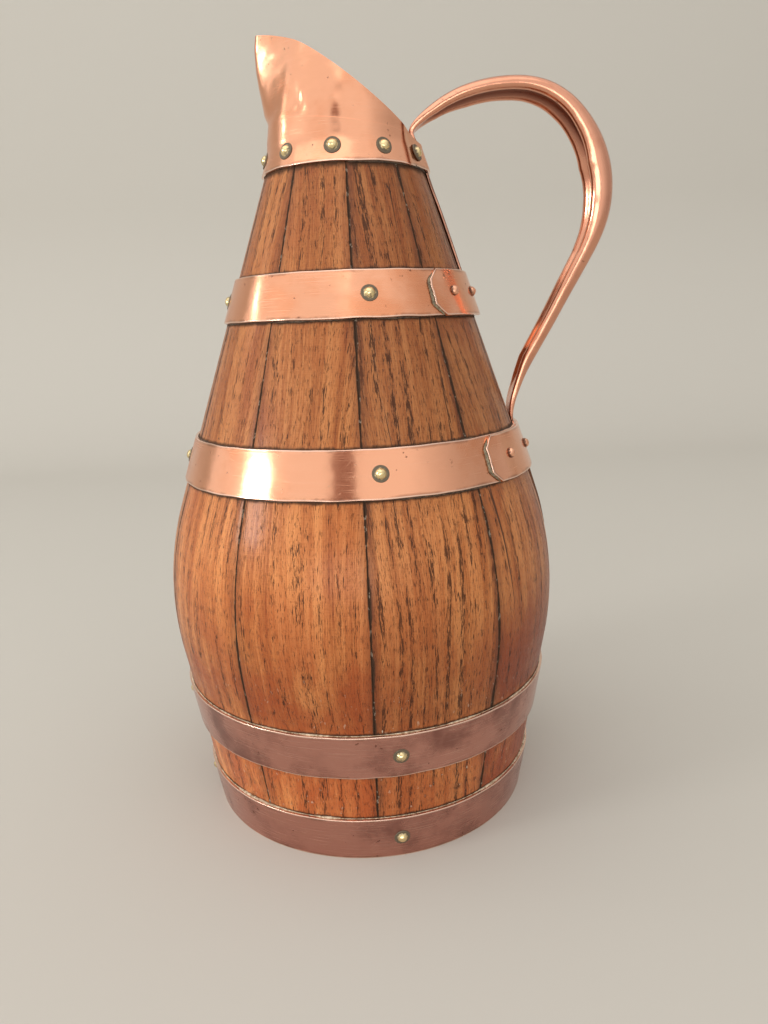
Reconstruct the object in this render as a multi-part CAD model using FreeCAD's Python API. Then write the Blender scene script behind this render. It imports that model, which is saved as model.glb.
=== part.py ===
import FreeCAD, Part
import math
import os

from FreeCAD import Vector

# Coopered oak pitcher with copper hoops, copper collar with a pouring lip, a rolled copper
# handle, brass nails and copper rivets. Millimetres and degrees. The origin is the centre of
# the foot, +Z is up, the handle stands towards +X and the lip pours towards -X.
# Angles round the pitcher start at the front (-Y) and grow towards the handle (+X).

# ---- driving dimensions ----------------------------------------------------------------

STAVES = 10
FIRST_JOINT = 1.2            # angle of the stave joint nearest the front
WALL = 6.0                   # stave thickness
FOOT_RADIUS = 55.1           # outer radius of the wood where it stands
FOOT_FLARE = 9.5             # lower part widens upwards by this angle
BELLY_ARC = 99.0             # radius of the swelling between the two straight parts
NECK_RADIUS = 25.5           # outer radius of the wood at the collar's lower edge
NECK_HEIGHT = 209.2          # height of the collar's lower edge
NECK_TAPER = 19.0            # upper part narrows upwards by this angle
STAVE_TOP = 216.0

HEAD_LOW = 7.0               # underside of the wooden bottom
HEAD_THICK = 8.0
CROZE_DEPTH = 2.5            # how far the bottom enters the staves
CROZE_BEVEL = 2.0

HOOP_THICK = 1.0
HOOPS = {                    # lower edge, upper edge, where the outer end of the lap stops
    "foot": (0.0, 15.3, 196.0),
    "belly": (31.5, 46.4, 146.0),
    "shoulder": (115.5, 129.2, 43.0),
    "neck": (164.6, 178.2, 37.0),
}
PLAIN_LAP = 36.0             # angle of a lap that no handle tail passes
LAP_CLIP = 3.2               # corners cut off the visible end of a lap
NAIL_STARTS = {"foot": 8.6, "belly": 8.2, "shoulder": 6.3, "neck": 8.0}   # front nails
NAILS_PER_HOOP = 4
NAIL_HEAD = 5.4
NAIL_DOME = 1.4
NAIL_SHANK = 1.7
NAIL_LENGTH = 5.0
RIVET_HEAD = 3.2
RIVET_DOME = 1.4
RIVET_SHANK = 1.8
RIVET_LENGTH = 3.4
RIVET_SHARES = (0.30, 0.78)  # places of the two rivets along a lap

COLLAR_THICK = 0.9
COLLAR_NAILS = 10
COLLAR_NAIL_START = -7.4
COLLAR_NAIL_HEIGHT = 213.4
COLLAR_TOP = 226.0           # both collar pieces are cut down from here
COLLAR_LEAN = 7.8            # the collar still narrows by this angle above the wood
SEAM_HEIGHT = 221.2          # seam between collar band and lip, on the axis
SEAM_SLOPE = 6.5             # the seam falls towards the handle
RIM_TIP = (-26.5, 250.2)     # the pouring edge in side view: an arc from the tip, then straight
RIM_CROWN = (-18.0, 247.3)
RIM_BEND = (-10.0, 242.3)
RIM_BACK = (26.0, 215.2)

LIP_LEVELS = [               # radius of the round part, reach of the tip, nose radius, height
    (24.05, 24.15, 18.0, 216.0), (23.05, 24.0, 14.0, 224.0), (21.9, 24.9, 8.5, 231.5),
    (17.5, 25.0, 3.4, 252.0),
]

HANDLE_ANGLE = 90.0
TAIL_THICK = 1.0
TAIL_WIDTH = 8.0
TAIL_ROOM = 0.8              # degrees left free on each side of a tail
TAIL_TURN = 222.4            # height where the upper tail turns outwards into the handle
UPPER_TAIL_END = 166.0       # the upper tail ends under the neck hoop
LOWER_TAIL_END = 92.0        # the lower tail runs out on the belly
SPINE = [                    # outer line of the handle in side view (x, z), top to bottom
    (21.4, 222.6), (31.8, 231.6), (50.0, 236.4), (66.0, 234.3), (79.0, 224.0),
    (86.0, 209.0), (85.2, 193.0), (76.6, 175.6), (66.3, 157.6), (57.2, 141.6),
    (54.4, 134.6), (53.9, 129.6),
]
HANDLE_SECTIONS = [          # share of the spine, width across, thickness
    (0.00, 7.8, 1.8), (0.06, 9.0, 4.4), (0.13, 10.4, 5.8), (0.25, 11.0, 6.2),
    (0.36, 12.0, 7.4), (0.47, 12.6, 8.4), (0.56, 12.0, 7.6), (0.66, 10.4, 5.6),
    (0.78, 9.4, 4.8), (0.88, 9.0, 4.4), (0.94, 8.4, 2.4), (1.00, 8.0, 1.0),
]
HANDLE_SHEET = 1.0           # the handle is rolled from sheet this thick

AXIS = Vector(0, 0, 1)
ORIGIN = Vector(0, 0, 0)
flare = math.radians(FOOT_FLARE)
taper = math.radians(NECK_TAPER)


# ---- the wooden wall's outline ---------------------------------------------------------

def belly_centre():
    """Centre (radius, height) of the arc that touches both straight parts of the wall."""
    low = FOOT_RADIUS * math.cos(flare) - BELLY_ARC
    high = NECK_RADIUS * math.cos(taper) + NECK_HEIGHT * math.sin(taper) - BELLY_ARC
    turn = math.sin(flare + taper)
    radius = (low * math.sin(taper) + high * math.sin(flare)) / turn
    height = (math.cos(flare) * high - math.cos(taper) * low) / turn
    return radius, height


def wall_points(depth):
    """Foot, lower and upper tangent points, arc middle and top of the outline, `depth`
    inside the outer face of the wood (outside it where depth is negative)."""
    centre, height = belly_centre()
    arc = BELLY_ARC - depth
    middle = (taper - flare) / 2
    foot = (FOOT_RADIUS - depth / math.cos(flare), 0.0)
    low = (centre + arc * math.cos(flare), height - arc * math.sin(flare))
    mid = (centre + arc * math.cos(middle), height + arc * math.sin(middle))
    high = (centre + arc * math.cos(taper), height + arc * math.sin(taper))
    top = (cone_radius(STAVE_TOP, depth), STAVE_TOP)
    return foot, low, mid, high, top


def cone_radius(height, depth=0.0):
    """Radius of the straight part of the wall that a height belongs to."""
    if height > belly_centre()[1]:
        return NECK_RADIUS - depth / math.cos(taper) + (NECK_HEIGHT - height) * math.tan(taper)
    return FOOT_RADIUS - depth / math.cos(flare) + height * math.tan(flare)


def wall_face(outside, inside):
    """Half section between two parallel outlines, in the XZ plane."""
    foot, low, mid, high, top = [Vector(r, 0, z) for r, z in wall_points(outside)]
    foot_in, low_in, mid_in, high_in, top_in = [Vector(r, 0, z) for r, z in wall_points(inside)]
    edges = [
        Part.makeLine(foot, low),
        Part.Arc(low, mid, high).toShape(),
        Part.makeLine(high, top),
        Part.makeLine(top, top_in),
        Part.makeLine(top_in, high_in),
        Part.Arc(high_in, mid_in, low_in).toShape(),
        Part.makeLine(low_in, foot_in),
        Part.makeLine(foot_in, foot),
    ]
    return Part.Face(Part.Wire(edges))


# ---- helpers ---------------------------------------------------------------------------

def direction(angle):
    """Horizontal unit vector at an angle round the pitcher."""
    return Vector(math.sin(math.radians(angle)), -math.cos(math.radians(angle)), 0)


def at(angle, radius, height):
    point = direction(angle) * radius
    return Vector(point.x, point.y, height)


def sector(angle, sweep, face):
    """Turn a face of the XZ plane about the axis, from `angle` through `sweep`."""
    start = face.copy()
    start.rotate(ORIGIN, AXIS, angle - HANDLE_ANGLE)
    return start.revolve(ORIGIN, AXIS, sweep)


def arc_edge(radius, start, end, height):
    """Horizontal arc about the axis, from one angle to another, either way round."""
    middle = (start + end) / 2
    return Part.Arc(at(start, radius, height), at(middle, radius, height),
                    at(end, radius, height)).toShape()


def surface_normal(height):
    """Outward normal of the straight parts of the wall, as (radial, up)."""
    if height > belly_centre()[1]:
        return math.cos(taper), math.sin(taper)
    return math.cos(flare), -math.sin(flare)


def fastener(angle, height, lift, head, dome, shank, length):
    """Domed head and round shank, turned in one piece and driven square to the wall; the
    head sits `lift` above it."""
    radial, up = surface_normal(height)
    normal = direction(angle) * radial + Vector(0, 0, up)
    seat = at(angle, cone_radius(height), height) + normal * lift
    ball = (head * head / 4 + dome * dome) / (2 * dome)
    half_turn = math.asin(head / 2 / ball) / 2
    crown = Vector(ball * math.sin(half_turn), 0, dome - ball + ball * math.cos(half_turn))
    rim = Vector(head / 2, 0, 0)
    top = Vector(0, 0, dome)
    outline = [top, Vector(0, 0, -length), Vector(shank / 2, 0, -length), Vector(shank / 2, 0, 0),
               rim]
    edges = [Part.makeLine(start, end) for start, end in zip(outline, outline[1:])]
    edges.append(Part.Arc(rim, crown, top).toShape())
    turned = Part.Face(Part.Wire(edges)).revolve(ORIGIN, AXIS, 360)
    turned.Placement = FreeCAD.Placement(seat, FreeCAD.Rotation(AXIS, normal))
    return turned


def nail(angle, height, lift):
    return fastener(angle, height, lift, NAIL_HEAD, NAIL_DOME, NAIL_SHANK, NAIL_LENGTH)


def rivet(angle, height):
    lift = 2 * HOOP_THICK
    return fastener(angle, height, lift, RIVET_HEAD, RIVET_DOME, RIVET_SHANK, RIVET_LENGTH)


def without(shape, tools):
    """Cut the fasteners and fitted pieces out of a shape."""
    near = [tool for tool in tools if tool.BoundBox.intersect(shape.BoundBox)]
    if not near:
        return shape
    return shape.cut(Part.makeCompound(near))


def one_solid(shape):
    """The largest solid of a shape, with its split faces joined again."""
    return max(shape.removeSplitter().Solids, key=lambda solid: solid.Volume)


# ---- wood ------------------------------------------------------------------------------

def bottom_head():
    """Round wooden bottom, bevelled to fit its groove in the staves."""
    top = HEAD_LOW + HEAD_THICK
    inner = cone_radius(HEAD_LOW + HEAD_THICK / 2, WALL)
    edge = inner + CROZE_DEPTH
    outline = [
        Vector(0, 0, HEAD_LOW), Vector(inner, 0, HEAD_LOW),
        Vector(edge, 0, HEAD_LOW + CROZE_BEVEL), Vector(edge, 0, top - CROZE_BEVEL),
        Vector(inner, 0, top), Vector(0, 0, top),
    ]
    return Part.Face(Part.makePolygon(outline + outline[:1])).revolve(ORIGIN, AXIS, 360)


def stave(index, head, fasteners):
    """One stave: a wedge of the wall with a groove for the bottom and its nail holes."""
    width = 360.0 / STAVES
    wedge = sector(FIRST_JOINT + index * width, width, wall_face(0.0, WALL))
    return without(wedge.cut(head), fasteners)


# ---- hoops -----------------------------------------------------------------------------

def ring_piece(levels, start, end, inside, outside):
    """Conical strip between two angles. Levels are (height, radius) pairs; `inside` and
    `outside` are the heights of its two faces above that radius."""
    wires = []
    for height, radius in levels:
        inner = radius + inside
        outer = radius + outside
        wires.append(Part.Wire([
            arc_edge(inner, start, end, height),
            Part.makeLine(at(end, inner, height), at(end, outer, height)),
            arc_edge(outer, end, start, height),
            Part.makeLine(at(start, outer, height), at(start, inner, height)),
        ]))
    return Part.makeLoft(wires, True, True)


def ramp_piece(levels, foot, top, climb, thick):
    """Straight strip that climbs off the wall, from the angle `foot` to the angle `top`."""
    wires = []
    for height, radius in levels:
        corners = [
            at(foot, radius, height), at(top, radius + climb, height),
            at(top, radius + climb + thick, height), at(foot, radius + thick, height),
        ]
        wires.append(Part.makePolygon(corners + corners[:1]))
    return Part.makeLoft(wires, True, True)


def climb_run(radius, climb):
    """Angle that a straight strip needs to climb off a circle."""
    return math.degrees(math.acos(radius / (radius + climb)))


def tail_half_angle(radius):
    """Half the angle that a handle tail takes up, with a little room."""
    return math.degrees(math.asin(TAIL_WIDTH / 2 / radius)) + TAIL_ROOM


def hoop_levels(name):
    """(height, radius) of a hoop's inner face at its two edges."""
    return [(height, cone_radius(height)) for height in HOOPS[name][:2]]


def hoop_middle(name):
    return sum(HOOPS[name][:2]) / 2


def lap_angles(name):
    """Angles of a hoop's lap: outer end, inner end, top and foot of the climb."""
    outer_end = HOOPS[name][2]
    if name in ("neck", "shoulder"):
        half = tail_half_angle(cone_radius(HOOPS[name][1]))
        inner_end = HANDLE_ANGLE - half
        top = HANDLE_ANGLE + half
    else:
        inner_end = outer_end + PLAIN_LAP
        top = inner_end
    return outer_end, inner_end, top, top + climb_run(cone_radius(hoop_middle(name)), HOOP_THICK)


def corner_cut(angle, height, upwards):
    """Prism that clips one corner of the outer end of a lap."""
    side = direction(angle + 90)
    away = direction(angle)
    up = Vector(0, 0, upwards)
    margin = 2.0
    corner = at(angle, cone_radius(height) + HOOP_THICK, height) + (up - side) * margin
    reach = LAP_CLIP + 2 * margin
    outline = [corner, corner + side * reach, corner - up * reach]
    face = Part.Face(Part.makePolygon(outline + outline[:1]))
    return face.extrude(away * (4 * HOOP_THICK))


def hoop(name, fasteners, handle):
    """Copper strap closed by a riveted lap; where a handle tail passes, the lap bridges it."""
    low, high = HOOPS[name][:2]
    outer_end, inner_end, top, foot = lap_angles(name)
    levels = hoop_levels(name)
    halfway = (inner_end + foot - 360) / 2
    outer_layer = ring_piece(levels, outer_end, top, HOOP_THICK, 2 * HOOP_THICK)
    for height, upwards in ((low, -1), (high, 1)):
        outer_layer = outer_layer.cut(corner_cut(outer_end, height, upwards))
    strap = outer_layer.multiFuse([
        ring_piece(levels, inner_end, halfway, 0.0, HOOP_THICK),
        ring_piece(levels, halfway, foot - 360, 0.0, HOOP_THICK),
        ramp_piece(levels, foot, top, HOOP_THICK, HOOP_THICK),
    ])
    return one_solid(without(strap, fasteners + [handle]))


def hoop_nails(name):
    angles = [NAIL_STARTS[name] + 360.0 * i / NAILS_PER_HOOP for i in range(NAILS_PER_HOOP)]
    return [nail(angle, hoop_middle(name), HOOP_THICK) for angle in angles]


def hoop_rivets(name):
    """Two rivets through both layers of a lap."""
    outer_end, inner_end = lap_angles(name)[:2]
    lap = inner_end - outer_end
    return [rivet(outer_end + share * lap, hoop_middle(name)) for share in RIVET_SHARES]


# ---- collar and lip --------------------------------------------------------------------

def collar_levels():
    """(height, radius) of the collar's inner face: along the wood, then less steeply in."""
    wood_top = cone_radius(STAVE_TOP)
    narrowing = (COLLAR_TOP - STAVE_TOP) * math.tan(math.radians(COLLAR_LEAN))
    return [(NECK_HEIGHT, NECK_RADIUS), (STAVE_TOP, wood_top), (COLLAR_TOP, wood_top - narrowing)]


def collar_pieces(levels):
    """Collar wall between two levels, lifted over the handle's upper tail."""
    half = tail_half_angle(levels[1][1])
    run = climb_run(levels[1][1], TAIL_THICK)
    behind = HANDLE_ANGLE + 180
    foot = half + run
    return [
        ring_piece(levels, HANDLE_ANGLE + foot, behind, 0.0, COLLAR_THICK),
        ring_piece(levels, behind, HANDLE_ANGLE + 360 - foot, 0.0, COLLAR_THICK),
        ramp_piece(levels, HANDLE_ANGLE - foot, HANDLE_ANGLE - half, TAIL_THICK, COLLAR_THICK),
        ramp_piece(levels, HANDLE_ANGLE + foot, HANDLE_ANGLE + half, TAIL_THICK, COLLAR_THICK),
        ring_piece(levels, HANDLE_ANGLE - half, HANDLE_ANGLE + half, TAIL_THICK,
                   TAIL_THICK + COLLAR_THICK),
    ]


def spout_wire(radius, tip, nose, height):
    """Plan of the lip at one height: a circle drawn out to a rounded nose towards -X."""
    reach = tip - nose
    turn = math.degrees(math.acos((radius - nose) / reach))
    centre = Vector(-reach, 0, height)
    front = HANDLE_ANGLE + 180

    def on_nose(angle):
        return centre + direction(angle) * nose

    back = arc_edge(radius, front + turn, front + 360 - turn, height)
    near_flank = Part.makeLine(at(front - turn, radius, height), on_nose(front - turn))
    nose_arc = Part.Arc(on_nose(front - turn), on_nose(front), on_nose(front + turn)).toShape()
    far_flank = Part.makeLine(on_nose(front + turn), at(front + turn, radius, height))
    return Part.Wire([back, near_flank, nose_arc, far_flank])


def lip_solid(offset):
    """Solid inside the lip's wall: the collar's top, waisted and drawn out to the spout."""
    wires = [spout_wire(radius - offset, tip - offset, nose - offset, height)
             for radius, tip, nose, height in LIP_LEVELS]
    return Part.makeLoft(wires, True, False)


def above_seam():
    """Block over the slanting seam between the band and the lip."""
    size = 200.0
    block = Part.makeBox(size, size, size, Vector(-size / 2, -size / 2, 0))
    block.rotate(ORIGIN, Vector(0, 1, 0), SEAM_SLOPE)
    block.translate(Vector(0, 0, SEAM_HEIGHT))
    return block


def above_rim():
    """Block over the pouring edge, which leaves the tip in an arc and then falls straight."""
    width = 80.0
    ceiling = 300.0
    tip, crown, bend, back = [Vector(x, -width / 2, z)
                              for x, z in (RIM_TIP, RIM_CROWN, RIM_BEND, RIM_BACK)]
    tip_up = Vector(tip.x - 20, tip.y, ceiling)
    back_up = Vector(back.x + 20, back.y, ceiling)
    tip_out = Vector(tip.x - 20, tip.y, tip.z)
    back_out = Vector(back.x + 20, back.y, back.z)
    edges = [
        Part.makeLine(tip_out, tip),
        Part.Arc(tip, crown, bend).toShape(),
        Part.makeLine(bend, back),
        Part.makeLine(back, back_out),
        Part.makeLine(back_out, back_up),
        Part.makeLine(back_up, tip_up),
        Part.makeLine(tip_up, tip_out),
    ]
    return Part.Face(Part.Wire(edges)).extrude(Vector(0, width, 0))


def collar_band(fasteners, handle):
    foot, bend, top = collar_levels()
    pieces = collar_pieces([foot, bend]) + collar_pieces([bend, top])
    ring = pieces[0].multiFuse(pieces[1:])
    ring = ring.cut(above_seam()).cut(above_rim())
    return one_solid(without(ring, fasteners + [handle]))


def pouring_lip(handle):
    wall = lip_solid(0.0).cut(lip_solid(COLLAR_THICK))
    wall = wall.common(above_seam()).cut(above_rim())
    return one_solid(without(wall, [handle]))


def collar_nails():
    angles = [COLLAR_NAIL_START + 360.0 * i / COLLAR_NAILS for i in range(COLLAR_NAILS)]
    return [nail(angle, COLLAR_NAIL_HEIGHT, COLLAR_THICK) for angle in angles]


# ---- handle ----------------------------------------------------------------------------

def handle_section(point, tangent, width, thick, inset=0.0):
    """Rolled section: rounded back, two rolled edges and a hollow face towards the wall."""
    inward = Vector(-tangent.z, 0, tangent.x) * -1
    side = Vector(0, 1, 0)
    half = width / 2 - inset
    deep = thick - inset

    def spot(across, down):
        return point + side * across + inward * down

    shoulder = 0.55 * thick
    lip = 0.62 * half
    hollow = deep - 0.14 * thick
    edges = [
        Part.Arc(spot(-half, shoulder), spot(0, inset), spot(half, shoulder)),
        Part.Arc(spot(half, shoulder), spot(0.9 * half, 0.5 * (shoulder + deep) + 0.12 * thick),
                 spot(lip, deep)),
        Part.Arc(spot(lip, deep), spot(0, hollow), spot(-lip, deep)),
        Part.Arc(spot(-lip, deep), spot(-0.9 * half, 0.5 * (shoulder + deep) + 0.12 * thick),
                 spot(-half, shoulder)),
    ]
    return Part.Wire([edge.toShape() for edge in edges])


def handle_tube():
    """Handle between its two flat tails, rolled up and therefore hollow."""
    spine = Part.BSplineCurve()
    spine.interpolate([Vector(x, 0, z) for x, z in SPINE])
    length = spine.length()
    sections = []
    for share, width, thick in HANDLE_SECTIONS:
        parameter = spine.parameterAtDistance(share * length, spine.FirstParameter)
        point = spine.value(parameter)
        tangent = spine.tangent(parameter)[0]
        sections.append((point, tangent, width, thick))
    outside = Part.makeLoft([handle_section(*section) for section in sections], True, False)
    hollow = Part.makeLoft([handle_section(*section, HANDLE_SHEET) for section in sections[2:-3]],
                           True, False)
    return outside.cut(hollow)


def tail(outline):
    """Flat end of the handle, lying on the wall: outline given as (half width, height)."""
    strip = sector(HANDLE_ANGLE - 25, 50, wall_face(-TAIL_THICK, 0.0))
    points = [Vector(0, half, height) for half, height in outline]
    points += [Vector(0, -half, height) for half, height in reversed(outline)]
    plate = Part.Face(Part.makePolygon(points + points[:1]))
    return strip.common(plate.extrude(Vector(100, 0, 0)))


def handle():
    half = TAIL_WIDTH / 2
    upper = tail([(half, STAVE_TOP), (half, UPPER_TAIL_END)])
    lower = tail([(half, 130.5), (half, 114.0), (1.2, LOWER_TAIL_END)])
    neck_low = cone_radius(STAVE_TOP - 1)
    neck_high = cone_radius(TAIL_TURN)
    outline = [
        Vector(neck_low, -half, STAVE_TOP - 1),
        Vector(neck_low + TAIL_THICK, -half, STAVE_TOP - 1),
        Vector(neck_high + 1.6, -half, TAIL_TURN), Vector(neck_high, -half, TAIL_TURN),
    ]
    neck = Part.Face(Part.makePolygon(outline + outline[:1])).extrude(Vector(0, 2 * half, 0))
    return one_solid(handle_tube().multiFuse([neck, upper, lower]))


# ---- build and write -------------------------------------------------------------------

def build():
    head = bottom_head()
    grip = handle()
    nails = {name: hoop_nails(name) for name in HOOPS}
    rivets = {name: hoop_rivets(name) for name in HOOPS}
    collar = collar_nails()
    fasteners = collar[:]
    for name in HOOPS:
        fasteners += nails[name] + rivets[name]

    nodes = {"bottom_head": head}
    for index in range(STAVES):
        nodes["stave_%02d" % (index + 1)] = stave(index, head, fasteners)
    grip = one_solid(without(grip, fasteners))
    for name in HOOPS:
        nodes[name + "_hoop"] = hoop(name, nails[name] + rivets[name], grip)
        nodes[name + "_hoop_nails"] = Part.makeCompound(nails[name])
        nodes[name + "_hoop_rivets"] = Part.makeCompound(rivets[name])
    nodes["collar_band"] = collar_band(collar, grip)
    nodes["pouring_lip"] = pouring_lip(grip)
    nodes["collar_nails"] = Part.makeCompound(collar)
    nodes["handle"] = grip
    return nodes


os.makedirs("parts", exist_ok=True)
for node, shape in build().items():
    print("%-22s solids %d valid %s volume %.0f box %.1f %.1f %.1f .. %.1f %.1f %.1f" % (
        node, len(shape.Solids), shape.isValid(), shape.Volume,
        shape.BoundBox.XMin, shape.BoundBox.YMin, shape.BoundBox.ZMin,
        shape.BoundBox.XMax, shape.BoundBox.YMax, shape.BoundBox.ZMax))
    shape.exportStep("parts/%s.step" % node)
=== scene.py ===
import math

import bpy
import numpy as np
from mathutils import Matrix, Vector, noise


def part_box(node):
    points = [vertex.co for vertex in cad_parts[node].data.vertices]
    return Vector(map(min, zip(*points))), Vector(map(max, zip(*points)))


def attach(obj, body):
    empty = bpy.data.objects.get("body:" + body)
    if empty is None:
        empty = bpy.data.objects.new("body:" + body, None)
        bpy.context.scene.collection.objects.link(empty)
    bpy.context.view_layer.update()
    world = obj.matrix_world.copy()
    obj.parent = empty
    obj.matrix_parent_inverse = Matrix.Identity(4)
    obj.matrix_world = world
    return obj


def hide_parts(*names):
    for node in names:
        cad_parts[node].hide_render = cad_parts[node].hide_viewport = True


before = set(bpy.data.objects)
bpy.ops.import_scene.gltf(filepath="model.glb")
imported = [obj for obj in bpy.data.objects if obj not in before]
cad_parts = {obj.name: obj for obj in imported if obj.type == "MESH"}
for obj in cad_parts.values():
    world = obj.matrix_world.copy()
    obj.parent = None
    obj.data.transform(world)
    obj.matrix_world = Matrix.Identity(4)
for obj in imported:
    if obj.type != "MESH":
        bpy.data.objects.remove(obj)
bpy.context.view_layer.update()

# A coopered oak pitcher with copper hoops, a copper collar with a pouring lip, a rolled copper
# handle, brass nails and copper rivets. Metres. Angles round it start at the front (-Y) and grow
# towards the handle (+X).

MM = 0.001


# ---- Studio ----------------------------------------------------------------------------------
# A pale sweep is both floor and wall. A small window-like softbox stands at the left and a smaller,
# dimmer one higher up behind it. A wide one hangs overhead, and a low one lights the front. A brown
# card behind the camera gives the copper something darker to mirror.

WALL_COLOUR = (0.54, 0.515, 0.465, 1)
FLOOR_FRONT = -1.6
WALL_PLACE = 1.0
WALL_HEIGHT = 1.8
SWEEP_HALF_WIDTH = 2.4
SWEEP_BEND = 0.35
BEND_STEPS = 16
CARD_COLOUR = (0.30, 0.17, 0.15, 1)
CARD_PLACE = -0.95
CARD_LEFT, CARD_RIGHT = -0.30, -0.035
CARD_LOW, CARD_HIGH = 0.42, 0.72
MATT = 0.9                    # roughness of paper and card


def node(tree, kind, inputs=None, **settings):
    """A new node, with its settings, and its inputs given as numbers or as other outputs."""
    made = tree.nodes.new(kind)
    for name, value in settings.items():
        setattr(made, name, value)
    for name, value in (inputs or {}).items():
        if isinstance(value, bpy.types.NodeSocket):
            tree.links.new(value, made.inputs[name])
        else:
            made.inputs[name].default_value = value
    return made


def new_material(name):
    """A material with nodes: its tree and its Principled shader."""
    material = bpy.data.materials.new(name)
    material.use_nodes = True
    shader = next(n for n in material.node_tree.nodes if n.type == "BSDF_PRINCIPLED")
    return material, material.node_tree, shader


def link_object(name, data):
    made = bpy.data.objects.new(name, data)
    bpy.context.scene.collection.objects.link(made)
    return made


sweep_line = [(FLOOR_FRONT, 0.0), (WALL_PLACE - SWEEP_BEND, 0.0)]
for step in range(1, BEND_STEPS + 1):
    turn = math.pi / 2 * step / BEND_STEPS
    sweep_line.append((WALL_PLACE - SWEEP_BEND + SWEEP_BEND * math.sin(turn),
                       SWEEP_BEND - SWEEP_BEND * math.cos(turn)))
sweep_line.append((WALL_PLACE, WALL_HEIGHT))
sweep_mesh = bpy.data.meshes.new("studio_sweep")
sweep_mesh.from_pydata(
    [(side, y, z) for y, z in sweep_line for side in (-SWEEP_HALF_WIDTH, SWEEP_HALF_WIDTH)], [],
    [(2 * i, 2 * i + 1, 2 * i + 3, 2 * i + 2) for i in range(len(sweep_line) - 1)])
sweep_mesh.shade_smooth()
sweep = link_object("studio_sweep", sweep_mesh)
paper, _, paper_shader = new_material("studio_paper")
paper_shader.inputs["Base Color"].default_value = WALL_COLOUR
paper_shader.inputs["Roughness"].default_value = MATT
sweep_mesh.materials.append(paper)

card_mesh = bpy.data.meshes.new("studio_card")
card_mesh.from_pydata([(CARD_LEFT, CARD_PLACE, CARD_LOW), (CARD_RIGHT, CARD_PLACE, CARD_LOW),
                       (CARD_RIGHT, CARD_PLACE, CARD_HIGH), (CARD_LEFT, CARD_PLACE, CARD_HIGH)],
                      [], [(0, 1, 2, 3)])
card = link_object("studio_card", card_mesh)
card_material, _, card_shader = new_material("studio_card")
card_shader.inputs["Base Color"].default_value = CARD_COLOUR
card_shader.inputs["Roughness"].default_value = MATT
card_mesh.materials.append(card_material)
card.visible_camera = False


def softbox(name, place, aim, width, height, watts, colour):
    data = bpy.data.lights.new(name, "AREA")
    data.shape = "RECTANGLE"
    data.size, data.size_y = width, height
    data.energy = watts
    data.color = colour
    lamp = link_object(name, data)
    lamp.location = place
    lamp.rotation_euler = (Vector(aim) - Vector(place)).to_track_quat("-Z", "Y").to_euler()
    lamp.visible_camera = False


softbox("window", (-1.19, -0.48, 0.46), (0, 0, 0.14), 0.30, 0.24, 4.4, (1.0, 0.99, 0.97))
softbox("ceiling", (-0.3, -0.35, 1.5), (0, 0, 0.1), 1.8, 1.4, 5.0, (1.0, 0.98, 0.95))
softbox("high_window", (-1.20, 0.23, 0.71), (0, 0, 0.24), 0.11, 0.08, 0.24, (1.0, 0.99, 0.97))
softbox("low_front", (-0.3, -1.5, 0.25), (0, 0, 0.05), 1.1, 0.4, 3.6, (1.0, 0.98, 0.95))

# the rest of the room is brighter on the window's side
world = bpy.data.worlds.new("room")
world.use_nodes = True
room = world.node_tree
sides = node(room, "ShaderNodeSeparateXYZ", {0: node(room, "ShaderNodeTexCoord").outputs["Generated"]})
glow = node(room, "ShaderNodeValToRGB", {0: node(
    room, "ShaderNodeMapRange", {0: sides.outputs[0], 1: -1.0, 2: 1.0}).outputs[0]})
glow.color_ramp.elements[0].color = (1.0, 0.98, 0.95, 1)
glow.color_ramp.elements[1].color = (0.46, 0.44, 0.42, 1)
glow.color_ramp.elements.new(0.76).color = (1.0, 0.98, 0.95, 1)
room.links.new(glow.outputs[0], room.nodes["Background"].inputs["Color"])
room.nodes["Background"].inputs["Strength"].default_value = 1.0
bpy.context.scene.world = world
bpy.context.scene.view_settings.view_transform = "Standard"

CAMERA_PLACE = (0.0, -0.2657, 0.1631)
CAMERA_DOWN = 13.75
CAMERA_TURN = 1.83
CAMERA_ROLL = -2.18
CAMERA_LENS = 27.07
camera_data = bpy.data.cameras.new("camera")
camera_data.lens = CAMERA_LENS
camera_data.clip_start = 0.01
camera = link_object("camera", camera_data)
camera.matrix_world = (
    Matrix.Translation(CAMERA_PLACE)
    @ Matrix.Rotation(-math.radians(CAMERA_TURN), 4, "Z")
    @ Matrix.Rotation(math.radians(90 - CAMERA_DOWN), 4, "X")
    @ Matrix.Rotation(math.radians(CAMERA_ROLL), 4, "Z")
)
bpy.context.scene.camera = camera


# ---- Staves ----------------------------------------------------------------------------------
# Ten wedges of open-pored oak, swelling over the belly and narrowing to the neck. They lean on
# each other with nothing glued: the hoops hold them, and polish and dirt fill the joints.

STAVES = 10
STAVE_TURN = math.tau / STAVES
FIRST_JOINT = math.radians(1.2)
WALL = 6.0 * MM
FOOT_RADIUS = 55.1 * MM
FOOT_FLARE = math.radians(9.5)
BELLY_ARC = 99.0 * MM
NECK_RADIUS = 25.5 * MM
NECK_TAPER = math.radians(19.0)
NECK_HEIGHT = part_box("collar_band")[0].z
STAVE_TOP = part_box("stave_01")[1].z
JOINT_GAP = 0.035 * MM
JOINT_WANDER = 0.35 * MM
EASED_EDGE = 0.6 * MM
EASED_DEPTH = 0.15 * MM
PLANED_DEPTH = 0.16 * MM


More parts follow.
